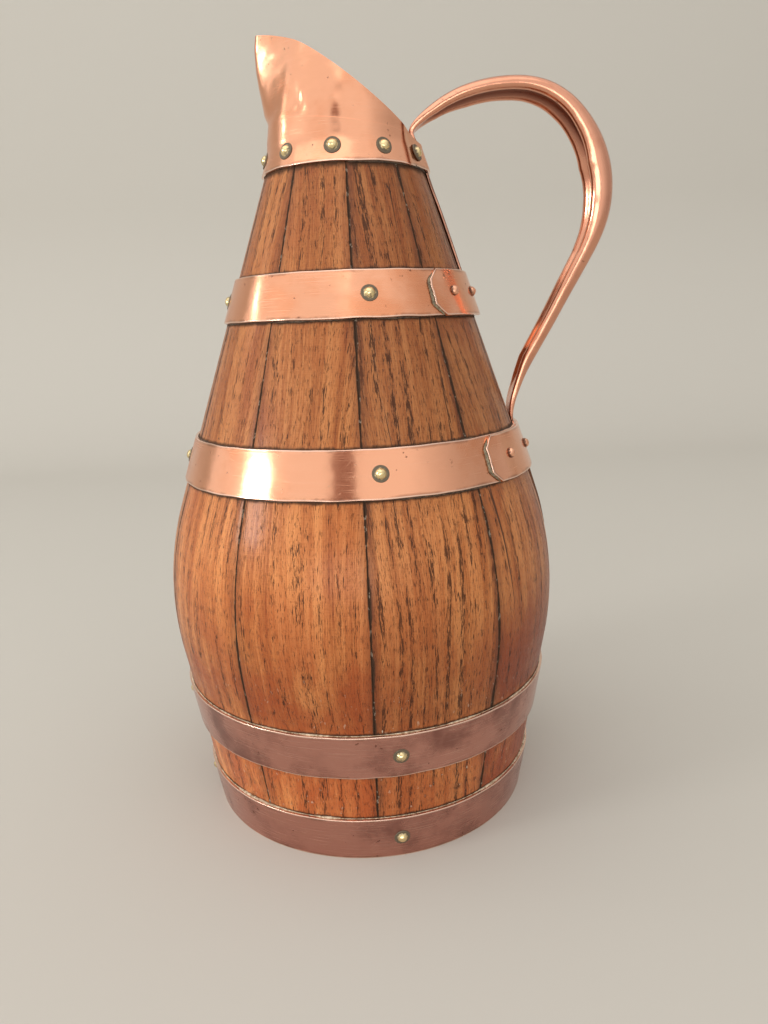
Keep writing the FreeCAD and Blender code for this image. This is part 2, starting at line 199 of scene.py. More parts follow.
def belly_centre():
    """Radius and height of the centre of the arc that touches both straight parts."""
    low = FOOT_RADIUS * math.cos(FOOT_FLARE) - BELLY_ARC
    high = NECK_RADIUS * math.cos(NECK_TAPER) + NECK_HEIGHT * math.sin(NECK_TAPER) - BELLY_ARC
    turn = math.sin(FOOT_FLARE + NECK_TAPER)
    return ((low * math.sin(NECK_TAPER) + high * math.sin(FOOT_FLARE)) / turn,
            (math.cos(FOOT_FLARE) * high - math.cos(NECK_TAPER) * low) / turn)


CENTRE_RADIUS, CENTRE_HEIGHT = belly_centre()


def wall_radius(height):
    """Outer radius of the wood at a height."""
    low = CENTRE_HEIGHT - BELLY_ARC * math.sin(FOOT_FLARE)
    high = CENTRE_HEIGHT + BELLY_ARC * math.sin(NECK_TAPER)
    on_arc = min(max(height, low), high)
    arc = CENTRE_RADIUS + math.sqrt(BELLY_ARC ** 2 - (on_arc - CENTRE_HEIGHT) ** 2)
    return (arc - max(height - high, 0) * math.tan(NECK_TAPER)
            + min(height - low, 0) * math.tan(FOOT_FLARE))


def calc(tree, operation, *values):
    """One sum: each value is a number or another node's output."""
    return node(tree, "ShaderNodeMath", dict(enumerate(values)), operation=operation).outputs[0]


def new_tree(name, kind, inputs, outputs):
    """A node group with named sockets: the tree, its inputs' outputs and its outputs' inputs."""
    tree = bpy.data.node_groups.new(name, kind)
    for label, socket_type in inputs:
        tree.interface.new_socket(name=label, in_out="INPUT", socket_type="NodeSocket" + socket_type)
    for label, socket_type in outputs:
        tree.interface.new_socket(name=label, in_out="OUTPUT", socket_type="NodeSocket" + socket_type)
    given = tree.nodes.new("NodeGroupInput").outputs
    result = tree.nodes.new("NodeGroupOutput").inputs
    return tree, given, result


def shaped_by(tree, name, values):
    """Runs a geometry tree once with these inputs and keeps the result as a plain mesh."""
    blank = link_object(name + "_blank", bpy.data.meshes.new(name + "_blank"))
    modifier = blank.modifiers.new("shape", "NODES")
    modifier.node_group = tree
    for item in tree.interface.items_tree:
        if item.in_out == "INPUT" and item.name in values:
            modifier[item.identifier] = values[item.name]
    graph = bpy.context.evaluated_depsgraph_get()
    mesh = bpy.data.meshes.new_from_object(blank.evaluated_get(graph), depsgraph=graph)
    blank.modifiers.remove(modifier)
    bpy.data.objects.remove(blank)
    mesh.name = name
    return link_object(name, mesh)


def on_the_wall(tree, angle, radius, height):
    """Point at an angle round the pitcher, a radius and a height."""
    return node(tree, "ShaderNodeCombineXYZ", {
        0: calc(tree, "MULTIPLY", radius, calc(tree, "SINE", angle)),
        1: calc(tree, "MULTIPLY", calc(tree, "MULTIPLY", radius, calc(tree, "COSINE", angle)), -1.0),
        2: height,
    }).outputs[0]


def store(tree, geometry, name, kind, domain, value):
    """Keeps a value on the mesh under a name that the material reads."""
    made = node(tree, "GeometryNodeStoreNamedAttribute",
                {"Geometry": geometry, "Name": name, "Value": value}, data_type=kind, domain=domain)
    return made.outputs[0]


stave_tree, given, result = new_tree(
    "bent_stave", "GeometryNodeTree",
    [("Middle Angle", "Float"), ("Turn", "Float"), ("Height", "Float"), ("Wall", "Float"),
     ("Foot Flare", "Float"), ("Neck Taper", "Float"), ("Belly Arc", "Float"),
     ("Arc Centre Radius", "Float"), ("Arc Centre Height", "Float"), ("Joint Gap", "Float"),
     ("Joint Wander", "Float"), ("Eased Edge", "Float"), ("Eased Depth", "Float"),
     ("Planed Depth", "Float"), ("Left Joint", "Float"), ("Right Joint", "Float"),
     ("Board", "Color"), ("Seed", "Float"), ("Material", "Material")],
    [("Geometry", "Geometry")])
block = node(stave_tree, "GeometryNodeMeshCube",
             {"Size": (1, 1, 1), "Vertices X": 21, "Vertices Y": 2, "Vertices Z": 109})
place = node(stave_tree, "ShaderNodeSeparateXYZ",
             {0: node(stave_tree, "GeometryNodeInputPosition").outputs[0]}).outputs
upright = calc(stave_tree, "MULTIPLY", calc(stave_tree, "ADD", place[2], 0.5), given["Height"])
depth = calc(stave_tree, "MULTIPLY", calc(stave_tree, "ADD", place[1], 0.5), given["Wall"])
outer_face = calc(stave_tree, "LESS_THAN", place[1], 0.0)

# columns crowd towards the two long edges, so that the eased corners have faces of their own
from_edge = calc(stave_tree, "SUBTRACT", 1.0,
                 calc(stave_tree, "MULTIPLY", calc(stave_tree, "ABSOLUTE", place[0]), 2.0))
share = calc(stave_tree, "SUBTRACT", 1.0, calc(stave_tree, "POWER", from_edge, 2.0))
across = calc(stave_tree, "MULTIPLY", calc(stave_tree, "MULTIPLY", share, 0.5),
              calc(stave_tree, "SIGN", place[0]))

arc = calc(stave_tree, "SUBTRACT", given["Belly Arc"], depth)
low = calc(stave_tree, "SUBTRACT", given["Arc Centre Height"],
           calc(stave_tree, "MULTIPLY", arc, calc(stave_tree, "SINE", given["Foot Flare"])))
high = calc(stave_tree, "ADD", given["Arc Centre Height"],
            calc(stave_tree, "MULTIPLY", arc, calc(stave_tree, "SINE", given["Neck Taper"])))
on_arc = calc(stave_tree, "MINIMUM", calc(stave_tree, "MAXIMUM", upright, low), high)
rise = calc(stave_tree, "SUBTRACT", on_arc, given["Arc Centre Height"])
radius = calc(stave_tree, "ADD", given["Arc Centre Radius"], calc(
    stave_tree, "SQRT", calc(stave_tree, "SUBTRACT", calc(stave_tree, "MULTIPLY", arc, arc),
                             calc(stave_tree, "MULTIPLY", rise, rise))))
above = calc(stave_tree, "MAXIMUM", calc(stave_tree, "SUBTRACT", upright, high), 0.0)
below = calc(stave_tree, "MINIMUM", calc(stave_tree, "SUBTRACT", upright, low), 0.0)
radius = calc(stave_tree, "SUBTRACT", radius, calc(
    stave_tree, "MULTIPLY", above, calc(stave_tree, "TANGENT", given["Neck Taper"])))
radius = calc(stave_tree, "ADD", radius, calc(
    stave_tree, "MULTIPLY", below, calc(stave_tree, "TANGENT", given["Foot Flare"])))


def joint_wander(joint):
    """How far a joint strays sideways at each height; both its staves share it."""
    path = node(stave_tree, "ShaderNodeCombineXYZ",
                {0: calc(stave_tree, "MULTIPLY", upright, 11.0), 1: joint}).outputs[0]
    wave = node(stave_tree, "ShaderNodeTexNoise", {"Vector": path, "Scale": 1.0, "Detail": 2.0})
    return calc(stave_tree, "MULTIPLY", calc(stave_tree, "SUBTRACT", wave.outputs[0], 0.5),
                given["Joint Wander"])


gap_turn = calc(stave_tree, "DIVIDE", given["Joint Gap"], radius)
open_turn = calc(stave_tree, "SUBTRACT", given["Turn"], calc(stave_tree, "MULTIPLY", gap_turn, 2.0))
left_stray = joint_wander(given["Left Joint"])
right_stray = joint_wander(given["Right Joint"])
right_share = calc(stave_tree, "ADD", across, 0.5)
stray = calc(stave_tree, "ADD", calc(stave_tree, "MULTIPLY", right_stray, right_share), calc(
    stave_tree, "MULTIPLY", left_stray, calc(stave_tree, "SUBTRACT", 1.0, right_share)))
offset = calc(stave_tree, "ADD", calc(stave_tree, "MULTIPLY", across, open_turn),
              calc(stave_tree, "DIVIDE", stray, radius))
angle = calc(stave_tree, "ADD", given["Middle Angle"], offset)
from_middle = calc(stave_tree, "MULTIPLY", offset, radius)
side_gap = calc(stave_tree, "MULTIPLY", calc(stave_tree, "MULTIPLY", radius, open_turn), calc(
    stave_tree, "SUBTRACT", 0.5, calc(stave_tree, "ABSOLUTE", across)))

# the outer corners are eased, and the outer face was planed by hand
bare = calc(stave_tree, "MAXIMUM", calc(stave_tree, "SUBTRACT", 1.0, calc(
    stave_tree, "DIVIDE", side_gap, given["Eased Edge"])), 0.0)
eased = calc(stave_tree, "MULTIPLY", calc(stave_tree, "POWER", bare, 2.0), given["Eased Depth"])
plane_path = node(stave_tree, "ShaderNodeCombineXYZ", {
    0: calc(stave_tree, "MULTIPLY", from_middle, 90.0),
    1: calc(stave_tree, "MULTIPLY", upright, 22.0), 2: given["Seed"]}).outputs[0]
plane_marks = node(stave_tree, "ShaderNodeTexNoise",
                   {"Vector": plane_path, "Scale": 1.0, "Detail": 2.0}).outputs[0]
planed = calc(stave_tree, "MULTIPLY", plane_marks, given["Planed Depth"])
worn = calc(stave_tree, "MULTIPLY", calc(stave_tree, "ADD", eased, planed), outer_face)
face_radius = calc(stave_tree, "SUBTRACT", calc(stave_tree, "SUBTRACT", radius, depth), worn)

# these are worked out from the straight block, so they are kept before it is bent
flat = node(stave_tree, "ShaderNodeCombineXYZ", {0: from_middle, 1: upright}).outputs[0]
kept = store(stave_tree, block.outputs[0], "UVMap", "FLOAT2", "CORNER", flat)
kept = store(stave_tree, kept, "edge", "FLOAT", "POINT", side_gap)
kept = store(stave_tree, kept, "board", "FLOAT_COLOR", "POINT", given["Board"])
bent = node(stave_tree, "GeometryNodeSetPosition", {
    "Geometry": kept, "Position": on_the_wall(stave_tree, angle, face_radius, upright)})
smooth = node(stave_tree, "GeometryNodeSetShadeSmooth", {"Geometry": bent.outputs[0]})
whole = node(stave_tree, "GeometryNodeRealizeInstances", {"Geometry": smooth.outputs[0]})
coloured = node(stave_tree, "GeometryNodeSetMaterial",
                {"Geometry": whole.outputs[0], "Material": given["Material"]})
stave_tree.links.new(coloured.outputs[0], result["Geometry"])


def ramp(tree, value, stops):
    """Colour or mask that follows a value: stops are (value, colour or number)."""
    made = node(tree, "ShaderNodeValToRGB", {0: value})
    elements = made.color_ramp.elements
    elements[0].position, elements[1].position = stops[0][0], stops[-1][0]
    for where, _ in stops[1:-1]:
        elements.new(where)
    for element, (_, colour) in zip(elements, stops):
        element.color = (*colour, 1) if isinstance(colour, tuple) else (colour, colour, colour, 1)
    return made.outputs[0]


def blend(tree, factor, first, second, blend_type="MIX"):
    """Two colours mixed by a mask."""
    return node(tree, "ShaderNodeMix", {0: factor, 6: first, 7: second},
                data_type="RGBA", blend_type=blend_type).outputs[2]


def fade(tree, value, start, end):
    """Soft step: 0 at start and 1 at end, whichever is larger."""
    return node(tree, "ShaderNodeMapRange", {0: value, 1: start, 2: end},
                interpolation_type="SMOOTHSTEP").outputs[0]


def cloud(tree, vector, scale, detail=2.0, roughness=0.5):
    """Noise on a vector stretched by three scales."""
    stretched = node(tree, "ShaderNodeVectorMath", {0: vector, 1: scale}, operation="MULTIPLY")
    return node(tree, "ShaderNodeTexNoise", {
        "Vector": stretched.outputs[0], "Scale": 1.0, "Detail": detail, "Roughness": roughness,
    }).outputs[0]


# oak grain: growth bands, fibres, short open pores in rows, and a few splits, along the board
grain_tree, given, result = new_tree(
    "oak_grain", "ShaderNodeTree",
    [("Board Place", "Vector"), ("Seed", "Float"), ("Coarseness", "Float")],
    [("Growth", "Float"), ("Streaks", "Float"), ("Fibres", "Float"), ("Pores", "Float"),
     ("Splits", "Float")])
parts = node(grain_tree, "ShaderNodeSeparateXYZ", {0: given["Board Place"]}).outputs
sideways = calc(grain_tree, "ADD", calc(grain_tree, "MULTIPLY", parts[0], 1000.0),
                calc(grain_tree, "MULTIPLY", given["Seed"], 371.0))
along = calc(grain_tree, "ADD", calc(grain_tree, "MULTIPLY", parts[1], 1000.0),
             calc(grain_tree, "MULTIPLY", given["Seed"], 913.0))
straight = node(grain_tree, "ShaderNodeCombineXYZ", {0: sideways, 1: along}).outputs[0]
wander = calc(grain_tree, "MULTIPLY", calc(
    grain_tree, "SUBTRACT", cloud(grain_tree, straight, (0.035, 0.011, 1), 1.0), 0.5), 9.0)
flow = node(grain_tree, "ShaderNodeCombineXYZ",
            {0: calc(grain_tree, "ADD", sideways, wander), 1: along}).outputs[0]
bands = cloud(grain_tree, flow, (0.30, 0.006, 1), 2.0)
streaks = cloud(grain_tree, flow, (1.5, 0.035, 1), 3.0, 0.6)
grain_tree.links.new(bands, result["Growth"])
grain_tree.links.new(streaks, result["Streaks"])


def pore_layer(across, down, start, softness):
    """Ragged slits where a stretched noise passes a level."""
    slits = cloud(grain_tree, flow, (across, down, 1), 3.0, 0.65)
    return fade(grain_tree, slits, start, calc(grain_tree, "ADD", start, softness))


# the pores stand in rows, closer together on a coarse board, and open up along each row
phase = calc(grain_tree, "MULTIPLY", calc(grain_tree, "ADD", sideways, wander), calc(
    grain_tree, "ADD", calc(grain_tree, "MULTIPLY", given["Coarseness"], 1.25), 0.35))
phase = calc(grain_tree, "ADD", phase, calc(
    grain_tree, "MULTIPLY", cloud(grain_tree, flow, (0.12, 0.005, 1), 1.0), 9.0))
rows = calc(grain_tree, "MULTIPLY", fade(grain_tree, calc(grain_tree, "SINE", phase), 0.2, 0.95),
            fade(grain_tree, cloud(grain_tree, flow, (0.10, 0.035, 1), 2.0), 0.34, 0.60))
opening = calc(grain_tree, "MULTIPLY", rows, calc(
    grain_tree, "ADD", calc(grain_tree, "MULTIPLY", given["Coarseness"], 0.10), 0.035))
opening = calc(grain_tree, "ADD", opening, calc(
    grain_tree, "MULTIPLY", given["Coarseness"], 0.045))
coarse = pore_layer(2.3, 0.24, calc(grain_tree, "SUBTRACT", 0.645, opening), 0.035)
fine = pore_layer(4.2, 0.42, calc(grain_tree, "SUBTRACT", 0.585, calc(
    grain_tree, "MULTIPLY", opening, 0.55)), 0.07)
pores = calc(grain_tree, "MAXIMUM", coarse, calc(grain_tree, "MULTIPLY", fine, 0.60))
grain_tree.links.new(pores, result["Pores"])
fibres = cloud(grain_tree, flow, (3.4, 0.10, 1), 3.0, 0.75)
grain_tree.links.new(fibres, result["Fibres"])
contour = calc(grain_tree, "ABSOLUTE", calc(
    grain_tree, "SUBTRACT", cloud(grain_tree, flow, (0.17, 0.0045, 1), 1.0), 0.5))
split_width = calc(grain_tree, "MULTIPLY", given["Coarseness"], calc(
    grain_tree, "MULTIPLY", fade(grain_tree, cloud(grain_tree, flow, (0.4, 0.02, 1), 2.0), 0.54, 0.66),
    0.003))
grain_tree.links.new(fade(grain_tree, contour, split_width, calc(
    grain_tree, "MULTIPLY", split_width, 0.3)), result["Splits"])

OAK_LIGHT = (0.72, 0.275, 0.088)
OAK_MID = (0.53, 0.170, 0.046)
OAK_DARK = (0.30, 0.075, 0.018)
OAK_RED = (0.38, 0.068, 0.015)
PORE_COLOUR = (0.040, 0.013, 0.006, 1)
DIRT_AND_SHADE_COLOUR = (0.046, 0.023, 0.012, 1)
DRY_POLISH = (0.62, 0.50, 0.38, 1)
JOINT_SHADE = (0.11, 0.030, 0.012, 1)
RAMP_SPAN = 220.0             # millimetres of height that the colour ramps cover
DIRT_AND_SHADE_REACH = 1.9

oak, tree, shader = new_material("varnished_oak")
flat_place = node(tree, "ShaderNodeUVMap", uv_map="UVMap").outputs[0]
board = node(tree, "ShaderNodeAttribute", attribute_name="board")
board_parts = node(tree, "ShaderNodeSeparateColor", {0: board.outputs["Color"]}).outputs
tone, coarseness, redness = board_parts[0], board_parts[1], board_parts[2]
seed = board.outputs["Alpha"]
edge = calc(tree, "MULTIPLY", node(tree, "ShaderNodeAttribute", attribute_name="edge").outputs["Fac"],
            1000.0)
body_place = node(tree, "ShaderNodeTexCoord").outputs["Object"]
height = calc(tree, "MULTIPLY", node(tree, "ShaderNodeSeparateXYZ", {0: body_place}).outputs[2],
              1000.0)
grain = node(tree, "ShaderNodeGroup", {
    "Board Place": flat_place, "Seed": seed, "Coarseness": coarseness}, node_tree=grain_tree)

figure = calc(tree, "ADD", calc(tree, "MULTIPLY", grain.outputs["Growth"], 0.42),
              calc(tree, "MULTIPLY", grain.outputs["Streaks"], 0.26))
figure = calc(tree, "ADD", figure, calc(tree, "MULTIPLY", grain.outputs["Fibres"], 0.32))
flecks = cloud(tree, flat_place, (300, 3400, 1), 2.0, 0.6)
figure = calc(tree, "ADD", figure, calc(tree, "MULTIPLY", calc(tree, "SUBTRACT", flecks, 0.5), 0.10))
colour = ramp(tree, figure, [(0.36, OAK_DARK), (0.47, OAK_MID), (0.57, OAK_LIGHT)])
mottle = cloud(tree, body_place, (55, 55, 38), 3.0, 0.6)
low_down = fade(tree, height, 92.0, 56.0)
red_mask = calc(tree, "MULTIPLY", fade(tree, calc(
    tree, "ADD", mottle, calc(tree, "MULTIPLY", low_down, 0.14)), 0.42, 0.70), redness)
red_mask = calc(tree, "MULTIPLY", red_mask, calc(
    tree, "ADD", calc(tree, "MULTIPLY", low_down, 0.8), 0.6))
colour = blend(tree, red_mask, colour, (*OAK_RED, 1))

# painted light and shade by height: the wood is coloured lighter near the foot and darker towards the
# neck, to stand in for how the light falls on it
PAINTED_HEIGHT_SHADING = [(0.0, 1.0), (42.0, 1.0), (50.0, 0.72), (66.0, 0.76), (92.0, 0.92), (112.0, 0.86),
               (132.0, 0.66), (206.0, 0.64)]
painted_height_shade = ramp(tree, calc(tree, "DIVIDE", height, RAMP_SPAN),
                  [(level / RAMP_SPAN, amount) for level, amount in PAINTED_HEIGHT_SHADING])
colour = blend(tree, 1.0, colour, painted_height_shade, "MULTIPLY")
colour = blend(tree, 1.0, colour, node(tree, "ShaderNodeCombineColor",
               {0: tone, 1: tone, 2: tone}).outputs[0], "MULTIPLY")
colour = blend(tree, calc(tree, "MULTIPLY", grain.outputs["Pores"], 0.86), colour, PORE_COLOUR)
colour = blend(tree, calc(tree, "MULTIPLY", grain.outputs["Splits"], 0.85), colour, PORE_COLOUR)

# dirt lies in the joints; beside every hoop and the collar a ragged dark band is both dirt and painted
# shade where the metal meets the wood
patchy = cloud(tree, body_place, (260, 260, 90), 3.0, 0.65)
gritty = cloud(tree, body_place, (1100, 1100, 700), 2.0, 0.6)
joint_width = calc(tree, "MULTIPLY", calc(tree, "MULTIPLY", coarseness, 0.75),
                   fade(tree, patchy, 0.32, 0.72))
joint_width = calc(tree, "ADD", joint_width, calc(tree, "MULTIPLY", gritty, 0.30))
joint_dirt = fade(tree, edge, calc(tree, "ADD", joint_width, 0.16), calc(
    tree, "MULTIPLY", joint_width, 0.45))
joint_shade = calc(tree, "MULTIPLY", fade(tree, edge, 3.4, 0.4), calc(
    tree, "MULTIPLY", coarseness, calc(tree, "MULTIPLY", patchy, 1.15)))
colour = blend(tree, joint_shade, colour, JOINT_SHADE)
banks = [(0.0, 1.0)]
for hoop_node in ("foot_hoop", "belly_hoop", "shoulder_hoop", "neck_hoop"):
    bottom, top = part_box(hoop_node)[0].z / MM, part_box(hoop_node)[1].z / MM
    if bottom > 1:
        banks += [((bottom - DIRT_AND_SHADE_REACH) / RAMP_SPAN, 0.0), (bottom / RAMP_SPAN, 1.0)]
    banks += [(top / RAMP_SPAN, 1.0), ((top + DIRT_AND_SHADE_REACH) / RAMP_SPAN, 0.0)]
banks += [((NECK_HEIGHT / MM - 2 * DIRT_AND_SHADE_REACH) / RAMP_SPAN, 0.0), (NECK_HEIGHT / MM / RAMP_SPAN, 1.0)]
bank = ramp(tree, calc(tree, "DIVIDE", height, RAMP_SPAN), banks)
ragged = calc(tree, "ADD", calc(tree, "MULTIPLY", patchy, 0.55), calc(
    tree, "MULTIPLY", gritty, 0.35))
# painted shade and dirt together: the dark band beside the hoops and the collar
hoop_dirt_and_shade = fade(tree, calc(tree, "ADD", bank, ragged), 0.85, 1.30)
dirt_and_shade = calc(tree, "MAXIMUM", joint_dirt, calc(tree, "MULTIPLY", hoop_dirt_and_shade, 0.88))
colour = blend(tree, dirt_and_shade, colour, DIRT_AND_SHADE_COLOUR)

# dried white polish: specks in the pores low on the belly, and a little in the joints
specks = cloud(tree, body_place, (900, 900, 420), 2.0, 0.6)
near_foot = fade(tree, height, 74.0, 47.0)
dry = calc(tree, "MULTIPLY", fade(tree, specks, 0.66, 0.74), calc(
    tree, "MULTIPLY", near_foot, calc(tree, "ADD", calc(
        tree, "MULTIPLY", grain.outputs["Pores"], 0.6), 0.35)))
dry = calc(tree, "ADD", dry, calc(tree, "MULTIPLY", calc(
    tree, "MULTIPLY", fade(tree, specks, 0.60, 0.66), joint_dirt), 0.35))
colour = blend(tree, dry, colour, DRY_POLISH)
tree.links.new(colour, shader.inputs["Base Color"])

rubbed = cloud(tree, body_place, (140, 140, 900), 3.0, 0.7)
rough = calc(tree, "ADD", calc(tree, "MULTIPLY", rubbed, 0.22), 0.26)
rough = calc(tree, "ADD", rough, calc(tree, "MULTIPLY", dirt_and_shade, 0.35))
tree.links.new(rough, shader.inputs["Roughness"])
coat = calc(tree, "MULTIPLY", calc(tree, "SUBTRACT", 1.0, calc(
    tree, "MAXIMUM", dirt_and_shade, grain.outputs["Pores"])), 0.20)
tree.links.new(coat, shader.inputs["Coat Weight"])
shader.inputs["Coat Roughness"].default_value = 0.2
shader.inputs["Specular IOR Level"].default_value = 0.2
relief = calc(tree, "ADD", calc(tree, "MULTIPLY", grain.outputs["Pores"], -1.0),
              calc(tree, "MULTIPLY", grain.outputs["Splits"], -1.3))
relief = calc(tree, "ADD", relief, calc(tree, "MULTIPLY", grain.outputs["Fibres"], 0.45))
relief = calc(tree, "ADD", relief, calc(tree, "MULTIPLY", rubbed, 0.12))
relief = calc(tree, "ADD", relief, calc(tree, "MULTIPLY", calc(tree, "MULTIPLY", dirt_and_shade, patchy), 0.5))
bump = node(tree, "ShaderNodeBump", {"Height": relief, "Strength": 0.55, "Distance": 0.0003})
tree.links.new(bump.outputs[0], shader.inputs["Normal"])

# tone, coarseness of the pores and redness of each board, from the first joint round
BOARDS = [
    (0.94, 1.00, 0.40), (0.86, 0.70, 0.70), (1.00, 0.85, 0.40), (0.95, 0.60, 0.60),
    (1.05, 0.95, 0.35), (0.90, 0.70, 0.65), (1.00, 0.60, 0.50), (0.94, 0.90, 0.40),
    (1.10, 0.72, 0.50), (1.08, 0.60, 0.55),
]
for index in range(STAVES):
    stave_name = "stave_%02d" % (index + 1)
    stave = shaped_by(stave_tree, "oak_" + stave_name, {
        "Middle Angle": FIRST_JOINT + (index + 0.5) * STAVE_TURN, "Turn": STAVE_TURN,
        "Height": STAVE_TOP, "Wall": WALL, "Foot Flare": FOOT_FLARE, "Neck Taper": NECK_TAPER,
        "Belly Arc": BELLY_ARC, "Arc Centre Radius": CENTRE_RADIUS,
        "Arc Centre Height": CENTRE_HEIGHT, "Joint Gap": JOINT_GAP, "Joint Wander": JOINT_WANDER,
        "Eased Edge": EASED_EDGE, "Eased Depth": EASED_DEPTH, "Planed Depth": PLANED_DEPTH,
        "Left Joint": 3.7 * index, "Right Joint": 3.7 * ((index + 1) % STAVES),
        "Board": (*BOARDS[index], 0.1 * index + 0.03), "Seed": 5.3 * index, "Material": oak,
    })
    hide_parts(stave_name)
    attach(stave, "root")


# ---- Bottom ----------------------------------------------------------------------------------
# A round oak board let into a groove in the staves. It shows only from below and down the neck,
# so it keeps its plain shape and gets a drier, darker cut of the same grain.

base_oak, tree, shader = new_material("bottom_oak")
board_place = node(tree, "ShaderNodeTexCoord").outputs["Object"]
grain = node(tree, "ShaderNodeGroup", {"Board Place": board_place, "Seed": 3.1, "Coarseness": 0.8},
             node_tree=grain_tree)
colour = ramp(tree, grain.outputs["Growth"], [(0.3, (0.13, 0.045, 0.02)), (0.7, (0.27, 0.11, 0.045))])
colour = blend(tree, calc(tree, "MULTIPLY", grain.outputs["Pores"], 0.8), colour, PORE_COLOUR)
colour = blend(tree, fade(tree, cloud(tree, board_place, (40, 40, 40), 3.0), 0.5, 0.7), colour,
               (0.09, 0.045, 0.025, 1))
tree.links.new(colour, shader.inputs["Base Color"])
tree.links.new(calc(tree, "ADD", calc(tree, "MULTIPLY", grain.outputs["Streaks"], 0.3), 0.5),
               shader.inputs["Roughness"])
bump = node(tree, "ShaderNodeBump", {"Height": calc(tree, "SUBTRACT", grain.outputs["Streaks"],
                                                    grain.outputs["Pores"]),
                                     "Strength": 0.5, "Distance": 0.0003})
tree.links.new(bump.outputs[0], shader.inputs["Normal"])
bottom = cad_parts["bottom_head"]
bottom.data.materials.clear()
bottom.data.materials.append(base_oak)


# ---- Hoops -----------------------------------------------------------------------------------
# Four straps of sheet copper, each closed into a ring by a riveted lap with clipped corners. The
# neck and shoulder laps bridge the tails of the handle. The edges are uneven, as cut by hand.

SHEET = 1.0 * MM
LAP_CLIP = 3.4 * MM
PLAIN_LAP = math.radians(36)
HANDLE_ANGLE = math.pi / 2
TAIL_HALF_WIDTH = 4.0 * MM
TAIL_ROOM = math.radians(0.8)
HOOP_LAPS = {"foot": 196.0, "belly": 146.0, "shoulder": 43.0, "neck": 37.0}
HOOP_ROWS = 9
COLUMN_STEP = 1.6 * MM
FLOOR_GAP = 0.15 * MM         # the foot hoop's lower edge stops this far above the floor
BEHIND_EDGE = (0.20, 0.085, 0.05, 1)
DARK_SPECK = (0.14, 0.05, 0.03, 1)
SCRATCH_GLINT = (1.0, 0.70, 0.54, 1)
EDGE_HIGHLIGHT = (1.0, 0.72, 0.58, 1)


def round_point(angle, radius, height):
    return (radius * math.sin(angle), -radius * math.cos(angle), height)


def ease(value):
    value = min(max(value, 0.0), 1.0)
    return value * value * (3 - 2 * value)


def sheet_mesh(name, points, flat, edges, closed=False):
    """A sheet from a grid of points, columns by rows, with its UV map in metres and the
    distance of each point from the sheet's edge. A closed sheet joins its last column to its
    first, and its flat map then has one column more."""
    columns, rows = points.shape[:2]
    quads = []
    corners = []
    for column in range(columns if closed else columns - 1):
        ahead = (column + 1) % columns
        for row in range(rows - 1):
            quads.append((column * rows + row, ahead * rows + row,
                          ahead * rows + row + 1, column * rows + row + 1))
            corners += [flat[column, row], flat[column + 1, row],
                        flat[column + 1, row + 1], flat[column, row + 1]]
    mesh = bpy.data.meshes.new(name)
    mesh.from_pydata(points.reshape(-1, 3).tolist(), [], quads)
    mesh.uv_layers.new(name="UVMap").uv.foreach_set("vector", np.array(corners).ravel())
    mesh.attributes.new("edge", "FLOAT", "POINT").data.foreach_set("value", edges.ravel())
    mesh.shade_smooth()
    return mesh


def with_thickness(name, mesh, material, thickness, outward, rounding):
    """The sheet as a closed plate with rounded edges, as a plain mesh."""
    raw = link_object(name + "_raw", mesh)
    plate = raw.modifiers.new("thickness", "SOLIDIFY")
    plate.thickness = thickness
    plate.offset = 1.0 if outward else -1.0
    plate.use_even_offset = False
    corner = raw.modifiers.new("corner", "BEVEL")
    corner.width = rounding
    corner.segments = 2
    corner.limit_method = "ANGLE"
    corner.angle_limit = math.radians(50)
    corner.harden_normals = True
    graph = bpy.context.evaluated_depsgraph_get()
    solid = bpy.data.meshes.new_from_object(raw.evaluated_get(graph), depsgraph=graph)
    bpy.data.objects.remove(raw)
    solid.name = name
    solid.materials.clear()
    solid.materials.append(material)
    return link_object(name, solid)


# hand polish: fine scratches along the strap and across it, tarnish clouds and dark specks
polish_tree, given, result = new_tree(
    "hand_polish", "ShaderNodeTree", [("Place", "Vector"), ("Body Place", "Vector")],
    [("Scratches", "Float"), ("Tarnish", "Float"), ("Specks", "Float"), ("Ripple", "Float")])
turned = node(polish_tree, "ShaderNodeVectorRotate", {"Vector": given["Place"], "Angle": 0.32},
              rotation_type="Z_AXIS").outputs[0]
crossed = node(polish_tree, "ShaderNodeVectorRotate", {"Vector": given["Place"], "Angle": -0.75},
               rotation_type="Z_AXIS").outputs[0]
long_lines = fade(polish_tree, cloud(polish_tree, given["Place"], (60, 5200, 1), 2.0), 0.56, 0.72)
slant_lines = fade(polish_tree, cloud(polish_tree, turned, (110, 4200, 1), 1.0), 0.64, 0.74)
cross_lines = fade(polish_tree, cloud(polish_tree, crossed, (160, 3600, 1), 1.0), 0.68, 0.76)
lines = calc(polish_tree, "MAXIMUM", long_lines, calc(
    polish_tree, "MULTIPLY", calc(polish_tree, "MAXIMUM", slant_lines, cross_lines), 0.6))
polish_tree.links.new(lines, result["Scratches"])
clouds = cloud(polish_tree, given["Body Place"], (42, 42, 42), 4.0, 0.62)
polish_tree.links.new(fade(polish_tree, clouds, 0.46, 0.70), result["Tarnish"])
dots = cloud(polish_tree, given["Body Place"], (480, 480, 480), 2.0, 0.5)
polish_tree.links.new(fade(polish_tree, dots, 0.69, 0.76), result["Specks"])
polish_tree.links.new(cloud(polish_tree, given["Body Place"], (95, 95, 120), 2.0, 0.4),
                      result["Ripple"])

